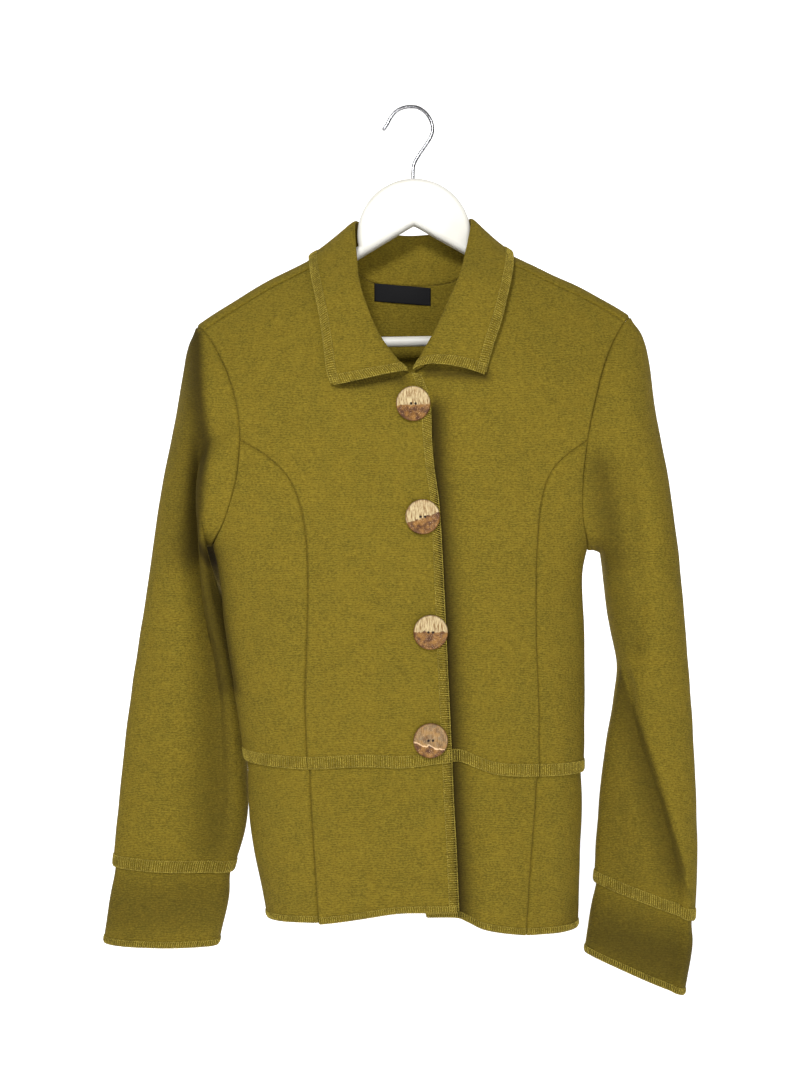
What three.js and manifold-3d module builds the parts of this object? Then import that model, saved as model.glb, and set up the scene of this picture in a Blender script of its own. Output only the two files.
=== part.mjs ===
// A boiled-wool cardigan, buttoned up, hanging from a wooden coat hanger.
// Millimetres. +Z is up, +X is the viewer's right, and the fronts face -Y.
// The origin is the inside top of the hanger's wire hook, where it rests on a peg or a rail.
// Right and left in the names are the wearer's, so the right front is on the viewer's left.

import * as THREE from 'three';
import { mergeVertices } from 'three/addons/utils/BufferGeometryUtils.js';
import Module from 'manifold-3d';

const wasm = await Module();
wasm.setup();

// Cloth
const CLOTH = 2.4;
const SEAM_GAP = 0.36;
const ARMHOLE_GAP = 0.9;
const BACK_ARMHOLE_GAP = 2.6;
const SLEEVE_EASE = 2.4;
const SLEEVE_EASE_ROWS = 1.5;
const COLLAR_GAP = 0.8;
const COLLAR_END_LIFT = 2.6;
const COLLAR_END_RUN = 0.05;
const COLLAR_ARCH = 5;
const COLLAR_ARCH_RUN = 0.09;
const LAP = 8;
const LAP_STEP = CLOTH + 0.4;
const LAP_FADE = 26;
const LAP_CROWD = 1.62;

// Shoulders and front closure
const SHOULDER_ROLL = 12;
const ROLL_RUN = (SHOULDER_ROLL * Math.PI) / 2;
const FRONT_SPREAD = 220;
const BACK_SPREAD = 150;
const SIDE_SEAM_LEAN = 8;
const SECTION_POWER = 2.3;
const UNDERLAP = 28;
const RIGHT_RAISE = 2.6;
const LEFT_SINK = 3.1;

// Buttons and label
const BUTTON_RADIUS = 16;
const BUTTON_THICK = 3.2;
const BUTTON_HOLE_RADIUS = 1;
const BUTTON_HOLE_SPACING = 4.2;
const BUTTON_START_Y = -120;
const LABEL_THICK = 0.8;

// Hanger
const HANGER_THICK = 16;
const HANGER_TILT = THREE.MathUtils.degToRad(0.9);
const HANGER_CENTRE = 2;
const HANGER_HALF = 207;
const ARCH_RADIUS = 55;
const ARCH_DOWN = 124;
const NOTCH_DOWN = 113.5;
const NOTCH_SLOPE = 0.586;
const EDGE_ROUND = 5;
const BAR_RADIUS = 4.9;
const BAR_DOWN = 226;
const BAR_HALF = 190;
const WIRE_RADIUS = 1.7;
const FIT = 0.3;

// Grid steps. Panels that share a seam share its steps, so their edges meet point for point.
const STEPS = {
  princess: 12,
  armholeUpper: 6,
  armholeLower: 5,
  armholeBack: 7,
  armholeRoll: 6,
  frontNeck: 8,
  backNeck: 16,
  shoulder: 4,
  peplum: 6,
  sleeve: 18,
  cuff: 4,
  collar: 11,
};

const EVENING_PASSES = 150;

const table = (columns, rows) =>
  rows.map((row) => Object.fromEntries(columns.split(' ').map((name, i) => [name, row[i]])));

// The body's outline and depth, by distance below the hook
const BODY = table('down left right front back', [
  [120, -246, 246, 58, 40],
  [280, -240, 240, 61, 40],
  [325, -228, 222, 63, 40],
  [362, -214, 199, 64, 40],
  [400, -199, 181, 64, 40],
  [428, -189, 170.5, 63, 40],
  [452, -183, 166, 62, 40],
  [500, -178.5, 167, 61, 39],
  [566, -168, 168.4, 59, 38],
  [635, -159, 167.5, 58, 37],
  [697, -152.5, 164.6, 60, 38],
  [755, -142, 162.5, 62, 39],
  [800, -134, 160, 63, 39],
]);

// The top line of the shoulders, across the neck too
const RIDGE = table('x down', [
  [-208, 212.5],
  [-180, 193],
  [-136, 166.5],
  [-107, 152],
  [-68, 134],
  [0, 129],
  [72, 133],
  [111.5, 149],
  [170, 177],
  [216, 203],
]);

// Seams and edges on the fronts, each from its top or its inner end
const PRINCESS_RIGHT = table('x down', [
  [-159, 325.5],
  [-135, 339.5],
  [-114, 359],
  [-102, 386],
  [-96.3, 420],
  [-95, 474],
  [-96.3, 520],
  [-98, 567],
  [-95.7, 630],
]);
const PRINCESS_LEFT = table('x down', [
  [166, 325.5],
  [142, 343],
  [129.7, 359],
  [122, 386],
  [119, 428],
  [118.2, 474],
  [118.4, 520],
  [120.3, 567],
  [121.4, 637.5],
]);
const PEPLUM_SEAM_RIGHT = table('x down', [
  [-95, 622],
  [-90, 705],
  [-85.3, 772],
]);
const PEPLUM_SEAM_LEFT = table('x down', [
  [121, 630],
  [113, 715],
  [108.2, 783.5],
]);
const FRONT_EDGE = table('down x', [
  [262, 7],
  [272, 11],
  [290, 17],
  [326, 18.5],
  [354, 21],
  [382, 25],
  [428, 28],
  [534, 33],
  [607, 36.5],
  [658, 38.5],
  [704, 41],
  [762, 43.5],
]);
const WAIST = table('x down', [
  [-160, 627],
  [-121, 629.5],
  [-95.7, 630],
  [-46, 626.5],
  [-9, 627.5],
  [44, 622],
  [62, 628],
  [80, 634],
  [121.4, 637.5],
  [169, 638.5],
]);
const HEM_RIGHT = table('x down', [
  [-137, 778],
  [-117, 777.5],
  [-85.3, 773.5],
  [-32, 764],
  [0, 760],
  [44, 759.5],
]);
const HEM_LEFT = table('x down', [
  [14, 765],
  [44, 765.5],
  [54, 770],
  [66, 775.5],
  [88, 780],
  [108.2, 783.5],
]);
const NECK_RIGHT = table('x down', [
  [8.6, 266],
  [-8, 262],
  [-14, 257],
  [-30, 238],
  [-46, 205],
  [-57, 175],
  [-64, 156],
  [-68, 146],
]);
const NECK_LEFT = table('x down', [
  [-18.6, 268],
  [5, 261],
  [14, 255],
  [30, 234],
  [46, 204],
  [58, 174],
  [67, 155],
  [72, 145],
]);

// The back neckline. Run is measured over the cloth from the shoulders' top line, forwards if negative.
const NECK_BACK = table('x run', [
  [-68, -ROLL_RUN],
  [-67.5, -8],
  [-66, 3],
  [-61, 15],
  [-52, 30],
  [-36, 42],
  [2, 46],
  [40, 42],
  [56, 30],
  [65, 15],
  [70, 3],
  [71.5, -8],
  [72, -ROLL_RUN],
]);

// Armholes, from the shoulder seam down the front, and up the back
const ARMHOLE_RIGHT = {
  upper: table('x down', [
    [-198, 217.2],
    [-185, 237],
    [-172, 262],
    [-161.6, 297],
    [-159, 325.5],
  ]),
  lower: table('x down', [
    [-159, 325.5],
    [-162.5, 362],
    [-174, 399],
    [-190.5, 426],
  ]),
  back: table('x run', [
    [-190.5, 232.6],
    [-177, 215],
    [-165, 187],
    [-160, 145],
    [-163, 100],
    [-176, 58],
    [-192, 32],
    [-201.5, ROLL_RUN],
  ]),
  roll: table('x run', [
    [-201.5, ROLL_RUN],
    [-206, 6],
    [-206, -6],
    [-198, -ROLL_RUN],
  ]),
};
const ARMHOLE_LEFT = {
  upper: table('x down', [
    [206, 208.9],
    [194, 229],
    [182, 258],
    [171, 300],
    [166, 325.5],
  ]),
  lower: table('x down', [
    [166, 325.5],
    [161.5, 362],
    [162, 399],
    [172, 430],
  ]),
  back: table('x run', [
    [172, 258.8],
    [166, 235],
    [164, 200],
    [166, 160],
    [172, 110],
    [184, 62],
    [199, 32],
    [207.5, ROLL_RUN],
  ]),
  roll: table('x run', [
    [207.5, ROLL_RUN],
    [212, 6],
    [212.5, -6],
    [206, -ROLL_RUN],
  ]),
};

// Sleeve sections from the armhole to the cuff's edge. Outer and inner are the two ends of a section as
// seen from the front, front and back its depths each side of middle. Across runs from 1 at the outer end
// to -1 at the inner end: the crease is a trough there, dip deep, and past the fold the front drops back.
const SLEEVE_COLUMNS = 'outerX outerDown innerX innerDown middle front back crease dip fold drop';
const SLEEVE_RIGHT = table(SLEEVE_COLUMNS, [
  [-204, 211, -190, 427, -6, 40, 34, 0.3, 0, -0.9, 0],
  [-213, 228, -199, 426, -5, 42, 36, 0.3, 3, -0.9, 2],
  [-220, 262, -202, 434, -2, 42, 36, 0.3, 7, -0.8, 6],
  [-227, 306, -199, 456, 2, 40, 34, 0.25, 10, -0.6, 12],
  [-236, 356, -193, 476, 6, 37, 32, 0.15, 12, -0.45, 17],
  [-245, 409, -184, 504, 8, 34, 28, 0.05, 12, -0.5, 20],
  [-256, 475, -176, 545, 12, 31, 25, -0.1, 11, -0.65, 18],
  [-266, 541, -169, 590, 14, 29, 24, -0.25, 10, -0.8, 12],
  [-275, 610, -165, 640, 13, 27, 23, -0.4, 9, -0.9, 7],
  [-282, 680, -166, 690, 9, 25, 22, -0.55, 7, -0.9, 3],
  [-286, 733, -173.5, 738, 5, 23, 21, -0.65, 5, -0.9, 0],
  [-289, 765, -178, 766, 3, 22, 20, -0.7, 3, -0.9, 0],
  [-294, 806, -187, 808, 0, 20, 18, -0.75, 2, -0.9, 0],
]);
const SLEEVE_LEFT = table(SLEEVE_COLUMNS, [
  [212, 203, 172, 431, -6, 40, 34, -0.1, 0, -0.9, 0],
  [224, 218, 180, 429, -5, 41, 35, -0.1, 3, -0.9, 0],
  [231, 250, 186, 432, -4, 41, 35, -0.15, 6, -0.9, 0],
  [236, 297, 189, 447, -2, 39, 34, -0.25, 8, -0.9, 0],
  [246, 350, 192, 475, 0, 36, 32, -0.45, 8, -0.9, 0],
  [254, 402, 197, 507, 1, 33, 30, -0.6, 7, -0.95, 2],
  [260, 455, 203.5, 540, 2, 31, 28, -0.6, 4, -0.85, 6],
  [265, 515, 200, 575, 2, 30, 26, -0.6, 1, -0.55, 12],
  [270, 585, 193, 620, 2, 29, 25, -0.6, 0, -0.2, 15],
  [274, 655, 187, 668, 2, 28, 24, -0.6, 0, 0.25, 15],
  [276, 725, 183, 712, 2, 27, 23, -0.5, 0, 0.6, 14],
  [274, 785, 181, 749, 2, 25, 22, -0.4, 0, 0.78, 11],
  [272, 812, 178, 776, 2, 23, 21, -0.4, 0, 0.8, 9],
  [264, 857, 172.5, 817, 2, 20, 19, -0.4, 0, 0.8, 6],
]);
const CUFF_SEAM_ROW = { right: 10, left: 11 };
const CUFF_LAP_ROWS = 0.16;
const CAP_ROWS = 4.5;
const CREASE_SPREAD = 0.3;
const FOLD_SPREAD = 0.6;
const SECTION_ROUND = 0.8;

// The collar, from the right front's end round the back to the left front's end. Fold is the crest,
// edge the free outer edge, and bulge how far the fall stands out between them.
const COLLAR = table('along foldX foldY foldDown edgeX edgeY edgeDown bulge', [
  [0, -1, -73.5, 262, -72, -70, 275, 8],
  [0.04, -12, -71, 250, -76, -69.5, 263, 6.5],
  [0.09, -27, -66, 227, -78.5, -66, 244, 5],
  [0.15, -40, -57, 197, -82.4, -60, 217, 4],
  [0.21, -47, -45, 171, -87, -51, 194, 4],
  [0.26, -51, -24, 139.5, -93, -37, 167, 1],
  [0.3, -52.5, -9, 117.5, -96, -19, 148.5, -1.5],
  [0.33, -52, 3, 106.5, -96, 2, 142.8, -2],
  [0.38, -44, 22, 106, -85.5, 32, 155.5, -1],
  [0.44, -26, 32, 111, -50, 38, 171, 2],
  [0.5, 2, 35, 113, 3, 41, 176, 2],
  [0.56, 31, 32, 111, 56, 38, 171, 2],
  [0.62, 50, 22, 105, 91.5, 32, 153, -1],
  [0.67, 58.5, 3, 104, 98, 2, 139.5, -2],
  [0.7, 57.5, -9, 114.5, 98, -19, 145.5, -1.5],
  [0.74, 53, -24, 136.5, 96, -37, 163, 1],
  [0.79, 46, -45, 166, 90, -51, 189, 4],
  [0.85, 34, -57, 195, 84, -60, 213, 4],
  [0.91, 20, -66, 226, 76, -66, 237, 5],
  [0.96, 8, -70, 248, 71.5, -67.5, 253, 6.5],
  [1, 3, -71, 259.5, 68.5, -68.5, 265, 8],
]);
const COLLAR_ALONG = { rightShoulder: 0.3, leftShoulder: 0.7 };
const FOLD_HANDLE = 5;

// Soft folds of the body, as raised or sunk lines on the front or the back
const DRAPE = table('side x0 down0 x1 down1 width height', [
  [1, -60, 430, -52, 760, 26, 1.6],
  [1, -128, 470, -118, 770, 18, 1.8],
  [1, -20, 560, -12, 762, 20, -1.6],
  [1, 84, 440, 78, 770, 22, 2],
  [1, 142, 480, 140, 780, 14, 1.8],
  [1, 60, 640, 56, 776, 9, -2.2],
  [-1, -80, 420, -90, 770, 26, 2.4],
  [-1, 0, 380, 6, 770, 30, -2.2],
  [-1, 88, 430, 96, 775, 26, 2.4],
]);

const BUTTONS = table('x down turn tip', [
  [2.4, 293.8, 9, 2],
  [11.2, 397.4, 5, -1],
  [18.5, 503.1, 6, 1],
  [18.6, 602.6, 4, -2],
]);

// The top edge of the hanger's arms, in the hanger's own frame
const ARM = table('x down', [
  [76, 145],
  [107, 157],
  [136, 169.8],
  [165, 185.2],
  [194, 201.6],
  [207, 209.6],
]);

// The hook's wire, seen from the front, in the hanger's own frame
const HOOK = table('x down', [
  [-25.6, 19.5],
  [-22.6, 15.6],
  [-19.6, 9.8],
  [-14, 3],
  [-7, -0.7],
  [0, -1.7],
  [8, -0.6],
  [15.6, 5],
  [20.4, 13],
  [21.6, 21.5],
  [19.4, 28.5],
  [13.6, 37.5],
  [7.6, 46],
  [3.2, 54],
  [2, 62],
  [2, 86],
]);

const MATERIALS = {
  wool: new THREE.MeshStandardMaterial({ color: 0x857529, roughness: 0.95 }),
  button: new THREE.MeshStandardMaterial({ color: 0xa98259, roughness: 0.35 }),
  label: new THREE.MeshStandardMaterial({ color: 0x14151b, roughness: 0.7 }),
  wood: new THREE.MeshStandardMaterial({ color: 0xf4f2e8, roughness: 0.45 }),
  wire: new THREE.MeshStandardMaterial({ color: 0xc9c9c9, roughness: 0.15, metalness: 1 }),
};

// Smooth curves through tables

// A column's value at a key: cubic pieces whose slope at each row is that of its two neighbours' chord
function smooth(rows, key, column) {
  const keys = rows.map((row) => row[key]);
  const values = rows.map((row) => row[column]);
  const last = rows.length - 1;
  const slopes = values.map((_, i) => {
    const before = Math.max(i - 1, 0);
    const after = Math.min(i + 1, last);
    return (values[after] - values[before]) / (keys[after] - keys[before]);
  });
  return (value) => {
    const k = THREE.MathUtils.clamp(value, keys[0], keys[last]);
    let i = 0;
    while (i < last - 1 && k > keys[i + 1]) i += 1;
    const span = keys[i + 1] - keys[i];
    const t = (k - keys[i]) / span;
    const s = 1 - t;
    return (
      values[i] * (1 + 2 * t) * s * s +
      values[i + 1] * t * t * (3 - 2 * t) +
      span * (slopes[i] * t * s * s - slopes[i + 1] * t * t * s)
    );
  };
}

// A line of points as a function of the fraction of its length, for the two named columns
function line(rows, first, second) {
  let length = 0;
  const measured = rows.map((row, i) => {
    if (i > 0) length += Math.hypot(row[first] - rows[i - 1][first], row[second] - rows[i - 1][second]);
    return { length, a: row[first], b: row[second] };
  });
  const a = smooth(measured, 'length', 'a');
  const b = smooth(measured, 'length', 'b');
  return (fraction) => [a(fraction * length), b(fraction * length)];
}

const bodyAt = Object.fromEntries(
  ['left', 'right', 'front', 'back'].map((column) => [column, smooth(BODY, 'down', column)]),
);
const ridgeDown = smooth(RIDGE, 'x', 'down');
const frontEdgeX = smooth(FRONT_EDGE, 'down', 'x');

// The body's surface

const signedPower = (value, power) => Math.sign(value) * Math.abs(value) ** power;

// Height lost in the first run of cloth over the rounded shoulder, and then straight down
const fallOf = (run) =>
  run < ROLL_RUN
    ? SHOULDER_ROLL * (1 - Math.cos(run / SHOULDER_ROLL))
    : SHOULDER_ROLL + run - ROLL_RUN;

// A point of the outer face. Turn goes round the body: 0 at the middle front, a quarter turn at the side
// seams, half a turn at the middle back. Run is how far down the cloth it is from the shoulders' top line.
function body(turnIn, runIn) {
  const run = Math.abs(runIn);
  const turn = runIn < 0 ? Math.PI - turnIn : turnIn;
  const facing = Math.cos(turn);
  const across = signedPower(Math.sin(turn), 2 / SECTION_POWER);
  const deep = Math.abs(facing) ** (2 / SECTION_POWER);
  const fall = fallOf(run);
  const roll = run < ROLL_RUN ? SHOULDER_ROLL * Math.sin(run / SHOULDER_ROLL) : SHOULDER_ROLL;
  let x = 0;
  let down = 0;
  for (let pass = 0; pass < 5; pass += 1) {
    down = ridgeDown(x) + fall;
    const left = bodyAt.left(down);
    const right = bodyAt.right(down);
    x = (left + right) / 2 + ((right - left) / 2) * across;
  }
  const spread = facing > 0 ? FRONT_SPREAD : BACK_SPREAD;
  const fill = 1 - (1 - Math.min(fall, spread) / spread) ** 3;
  const lean = 1 - (1 - Math.min(fall, FRONT_SPREAD) / FRONT_SPREAD) ** 3;
  const full = facing > 0 ? bodyAt.front(down) : bodyAt.back(down);
  const depth = roll * (1 - fill) + full * deep * fill;
  return new THREE.Vector3(x, -SIDE_SEAM_LEAN * lean + (facing > 0 ? -depth : depth), -down);
}

function bodyNormal(turn, run) {
  const step = 1e-3;
  const alongTurn = body(turn + step, run).sub(body(turn - step, run));
  const alongRun = body(turn, run + 1).sub(body(turn, run - 1));
  return alongRun.cross(alongTurn).normalize();
}

// Turn and run of a place on the front or the back that is given by its x and its height
function placed(x, down, back = false) {
  const left = bodyAt.left(down);
  const right = bodyAt.right(down);
  const across = THREE.MathUtils.clamp((2 * x - left - right) / (right - left), -1, 1);
  const turn = Math.asin(signedPower(across, SECTION_POWER / 2));
  return [back ? Math.PI - turn : turn, ROLL_RUN + down - ridgeDown(x) - SHOULDER_ROLL];
}

// The same for a place on the back that is given by its x and its run
function placedBack(x, run) {
  const [turn] = placed(x, ridgeDown(x) + fallOf(Math.abs(run)), true);
  return [turn, run];
}

const onFront = (rows) => {
  const at = line(rows, 'x', 'down');
  return (fraction) => placed(...at(fraction));
};
const onBack = (rows) => {
  const at = line(rows, 'x', 'run');
  return (fraction) => placedBack(...at(fraction));
};

// Height of the soft folds at a place, each fading out from its line and towards its ends
function drapeAt(point, side) {
  let height = 0;
  for (const fold of DRAPE) {
    if (fold.side !== side) continue;
    const along = THREE.MathUtils.clamp((-point.z - fold.down0) / (fold.down1 - fold.down0), 0, 1);
    const x = fold.x0 + (fold.x1 - fold.x0) * along;
    const fade = Math.sin((Math.PI / 2) * Math.min(1, along * 2)) ** 2;
    height += fold.height * fade * Math.exp(-(((point.x - x) / fold.width) ** 2));
  }
  return height;
}

// How far the closure lifts the right front and sinks the left one, near the front edge
const closureRaise = (point) =>
  RIGHT_RAISE * THREE.MathUtils.smoothstep(point.x - frontEdgeX(-point.z), -72, -32);
const closureSink = (point) =>
  -LEFT_SINK * (1 - THREE.MathUtils.smoothstep(point.x - frontEdgeX(-point.z), 4, 44));

// How far the peplum lies under the bodice's lapped edge
function lapSink(point, waistDown) {
  const below = Math.max(0, -point.z - waistDown);
  return -LAP_STEP * Math.exp(-((below / LAP_FADE) ** 2));
}

// Walls

const meshFrom = (name, geometry, material) => {
  const mesh = new THREE.Mesh(geometry, material);
  mesh.name = name;
  return mesh;
};

// A closed wall from its outer points and the inward vector at each, on a grid of rows. Each cell of the
// grid is split along its shorter diagonal.
// With around set, each row closes on itself and the wall is a tube.
function wall(name, outer, inward, material, around = false) {
  const rows = outer.length;
  const columns = outer[0].length;
  const positions = [];
  for (const row of outer) for (const point of row) positions.push(point.x, point.y, point.z);
  outer.forEach((row, i) =>
    row.forEach((point, j) => {
      const inner = point.clone().add(inward[i][j]);
      positions.push(inner.x, inner.y, inner.z);
    }),
  );
  const half = rows * columns;
  const at = (i, j, inside) => (inside ? half : 0) + i * columns + (j % columns);
  const faces = [];
  const quad = (a, b, c, d) => faces.push(a, b, c, a, c, d);
  const steps = around ? columns : columns - 1;
  for (let i = 0; i < rows - 1; i += 1) {
    for (let j = 0; j < steps; j += 1) {
      const next = (j + 1) % columns;
      const forward = outer[i][j].distanceTo(outer[i + 1][next]);
      const backward = outer[i + 1][j].distanceTo(outer[i][next]);
      if (forward <= backward) {
        quad(at(i, j), at(i + 1, j), at(i + 1, j + 1), at(i, j + 1));
        quad(at(i, j, 1), at(i, j + 1, 1), at(i + 1, j + 1, 1), at(i + 1, j, 1));
      } else {
        quad(at(i + 1, j), at(i + 1, j + 1), at(i, j + 1), at(i, j));
        quad(at(i + 1, j, 1), at(i, j, 1), at(i, j + 1, 1), at(i + 1, j + 1, 1));
      }
    }
  }
  for (let j = 0; j < steps; j += 1) {
    quad(at(0, j), at(0, j + 1), at(0, j + 1, 1), at(0, j, 1));
    quad(at(rows - 1, j), at(rows - 1, j, 1), at(rows - 1, j + 1, 1), at(rows - 1, j + 1));
  }
  if (!around) {
    for (let i = 0; i < rows - 1; i += 1) {
      quad(at(i, 0), at(i, 0, 1), at(i + 1, 0, 1), at(i + 1, 0));
      quad(at(i, steps), at(i + 1, steps), at(i + 1, steps, 1), at(i, steps, 1));
    }
  }
  const geometry = new THREE.BufferGeometry();
  geometry.setAttribute('position', new THREE.Float32BufferAttribute(positions, 3));
  geometry.setIndex(faces);
  return meshFrom(name, outward(geometry), material);
}

// Turns a closed geometry's faces outwards if its volume comes out negative
function outward(geometry) {
  const position = geometry.getAttribute('position');
  const index = geometry.getIndex().array;
  const [a, b, c] = [0, 1, 2].map(() => new THREE.Vector3());
  let volume = 0;
  for (let i = 0; i < index.length; i += 3) {
    a.fromBufferAttribute(position, index[i]);
    b.fromBufferAttribute(position, index[i + 1]);
    c.fromBufferAttribute(position, index[i + 2]);
    volume += a.dot(b.cross(c));
  }
  if (volume < 0) {
    for (let i = 0; i < index.length; i += 3) [index[i], index[i + 1]] = [index[i + 1], index[i]];
  }
  return geometry;
}

// Draws each edge of a grid in along the cloth by half a seam gap
function drawIn(points, around = false) {
  const last = points.length - 1;
  const end = points[0].length - 1;
  const pull = (point, next) => {
    point.addScaledVector(next.clone().sub(point).normalize(), SEAM_GAP / 2);
  };
  for (let j = 0; j <= end; j += 1) {
    pull(points[0][j], points[1][j]);
    pull(points[last][j], points[last - 1][j]);
  }
  if (around) return;
  for (let i = 0; i <= last; i += 1) {
    pull(points[i][0], points[i][1]);
    pull(points[i][end], points[i][end - 1]);
  }
}

// Turns and runs of a panel's grid points. Its four edges are curves in turn and run, blended across the
// panel: the sum of both ways across less the four corners' own blend. The turns inside are then evened
// out until each is the mean of its four neighbours. With crowd above 1 the rows lie closer at the top.
function spreadGrid({ top, bottom, start, end }, rows, columns, crowd) {
  const corners = [start(0), end(0), start(1), end(1)];
  const grid = [];
  for (let i = 0; i <= rows; i += 1) {
    const v = (i / rows) ** crowd;
    const row = [];
    for (let j = 0; j <= columns; j += 1) {
      const u = j / columns;
      row.push(
        [0, 1].map(
          (k) =>
            (1 - v) * top(u)[k] + v * bottom(u)[k] + (1 - u) * start(v)[k] + u * end(v)[k] -
            (1 - u) * (1 - v) * corners[0][k] - u * (1 - v) * corners[1][k] -
            (1 - u) * v * corners[2][k] - u * v * corners[3][k],
        ),
      );
    }
    grid.push(row);
  }
  for (let pass = 0; pass < EVENING_PASSES; pass += 1) {
    for (let i = 1; i < rows; i += 1) {
      for (let j = 1; j < columns; j += 1) {
        const around = grid[i - 1][j][0] + grid[i + 1][j][0] + grid[i][j - 1][0] + grid[i][j + 1][0];
        grid[i][j][0] = around / 4;
      }
    }
  }
  return grid;
}

// A cloth panel on the body, raised by the lift
function panel(name, edges, rows, columns, lift, crowd = 1) {
  const outer = [];
  const inward = [];
  for (const row of spreadGrid(edges, rows, columns, crowd)) {
    const points = [];
    const inwards = [];
    for (const [turn, run] of row) {
      const normal = bodyNormal(turn, run);
      const point = body(turn, run);
      point.addScaledVector(normal, lift(point));
      points.push(point);
      inwards.push(normal.multiplyScalar(-CLOTH));
    }
    outer.push(points);
    inward.push(inwards);
  }
  drawIn(outer);
  return wall(name, outer, inward, MATERIALS.wool);
}

// Joins curves end to end, each taking its own number of grid steps
function joined(...parts) {
  const total = parts.reduce((sum, [, steps]) => sum + steps, 0);
  return (fraction) => {
    let step = fraction * total;
    for (const [curve, steps] of parts.slice(0, -1)) {
      if (step <= steps) return curve(step / steps);
      step -= steps;
    }
    const [curve, steps] = parts[parts.length - 1];
    return curve(step / steps);
  };
}

const reversed = (curve) => (fraction) => curve(1 - fraction);

// Points of a waist or hem line between two x places, on the front
const between = (rows, from, to, raise = 0) => {
  const down = smooth(rows, 'x', 'down');
  return (fraction) => {
    const x = from + (to - from) * fraction;
    return placed(x, down(x) - raise);
  };
};

// Bodice

const waistDown = smooth(WAIST, 'x', 'down');
const sideX = (side, down) => (side === 'right' ? bodyAt.left(down) : bodyAt.right(down));

// The side seam is where the section is widest, a quarter turn from the middle front
function sideSeam(side, fromDown, toDown, back = false) {
  const rows = [fromDown, toDown].map((down) => placed(sideX(side, down), down)[1]);
  const turn = side === 'right' ? (back ? (3 * Math.PI) / 2 : -Math.PI / 2) : Math.PI / 2;
  return (fraction) => [turn, rows[0] + (rows[1] - rows[0]) * fraction];
}

// A line across between two turns, level or sloping evenly in height
const level = (fromTurn, toTurn, fromDown, toDown) => (fraction) => {
  const turn = fromTurn + (toTurn - fromTurn) * fraction;
  const down = fromDown + (toDown - fromDown) * fraction;
  const left = bodyAt.left(down);
  const right = bodyAt.right(down);
  const x = (left + right) / 2 + ((right - left) / 2) * signedPower(Math.sin(turn), 2 / SECTION_POWER);
  return [turn, ROLL_RUN + down - ridgeDown(x) - SHOULDER_ROLL];
};

const SIDES = {
  right: {
    princess: PRINCESS_RIGHT,
    peplumSeam: PEPLUM_SEAM_RIGHT,
    hem: HEM_RIGHT,
    neck: NECK_RIGHT,
    armhole: ARMHOLE_RIGHT,
    sleeve: SLEEVE_RIGHT,
    closure: closureRaise,
    edgeShift: 0,
    underarmDown: 426,
    waistDown: 627,
    hemDown: 778,
    sign: -1,
  },
  left: {
    princess: PRINCESS_LEFT,
    peplumSeam: PEPLUM_SEAM_LEFT,
    hem: HEM_LEFT,
    neck: NECK_LEFT,
    armhole: ARMHOLE_LEFT,
    sleeve: SLEEVE_LEFT,
    closure: closureSink,
    edgeShift: -UNDERLAP,
    underarmDown: 430,
    waistDown: 638.5,
    hemDown: 787,
    sign: 1,
  },
};

// A level line across the back, at one of the heights that both sides name
const backLevel = (height, raise = 0) =>
  level(
    (3 * Math.PI) / 2,
    Math.PI / 2,
    SIDES.right[height] - raise,
    SIDES.left[height] - raise,
  );

const frontLift = (spec) => (point) => spec.closure(point) + drapeAt(point, 1);
const backLift = (point) => drapeAt(point, -1);

// The front edge as a line of the front, between two heights
const frontEdge = (spec, fromDown, toDown) => (fraction) => {
  const down = fromDown + (toDown - fromDown) * fraction;
  return placed(frontEdgeX(down) + spec.edgeShift, down);
};

function frontCentre(side) {
  const spec = SIDES[side];
  const neckStart = spec.neck[0];
  const princessEnd = spec.princess[spec.princess.length - 1];
  const edgeX = frontEdgeX(waistDown(40)) + spec.edgeShift;
  const shoulder = line(
    [
      { x: spec.neck[spec.neck.length - 1].x, down: spec.neck[spec.neck.length - 1].down },
      { x: spec.armhole.upper[0].x, down: spec.armhole.upper[0].down },
    ],
    'x',
    'down',
  );
  const shoulderSeam = (fraction) => {
    const [x] = shoulder(fraction);
    return placed(x, ridgeDown(x) + SHOULDER_ROLL);
  };
  return panel(
    `front_centre_${side}`,
    {
      top: joined([onFront(spec.neck), STEPS.frontNeck], [shoulderSeam, STEPS.shoulder]),
      bottom: between(WAIST, edgeX, princessEnd.x),
      start: frontEdge(spec, neckStart.down, waistDown(edgeX)),
      end: joined(
        [onFront(spec.armhole.upper), STEPS.armholeUpper],
        [onFront(spec.princess), STEPS.princess],
      ),
    },
    STEPS.armholeUpper + STEPS.princess,
    STEPS.frontNeck + STEPS.shoulder,
    frontLift(spec),
  );
}

function frontSide(side) {
  const spec = SIDES[side];
  const princessEnd = spec.princess[spec.princess.length - 1];
  return panel(
    `front_side_${side}`,
    {
      top: onFront(spec.armhole.lower),
      bottom: level(
        placed(princessEnd.x, princessEnd.down)[0],
        (spec.sign * Math.PI) / 2,
        princessEnd.down,
        spec.waistDown,
      ),
      start: onFront(spec.princess),
      end: sideSeam(side, spec.underarmDown, spec.waistDown),
    },
    STEPS.princess,
    STEPS.armholeLower,
    frontLift(spec),
  );
}

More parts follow.
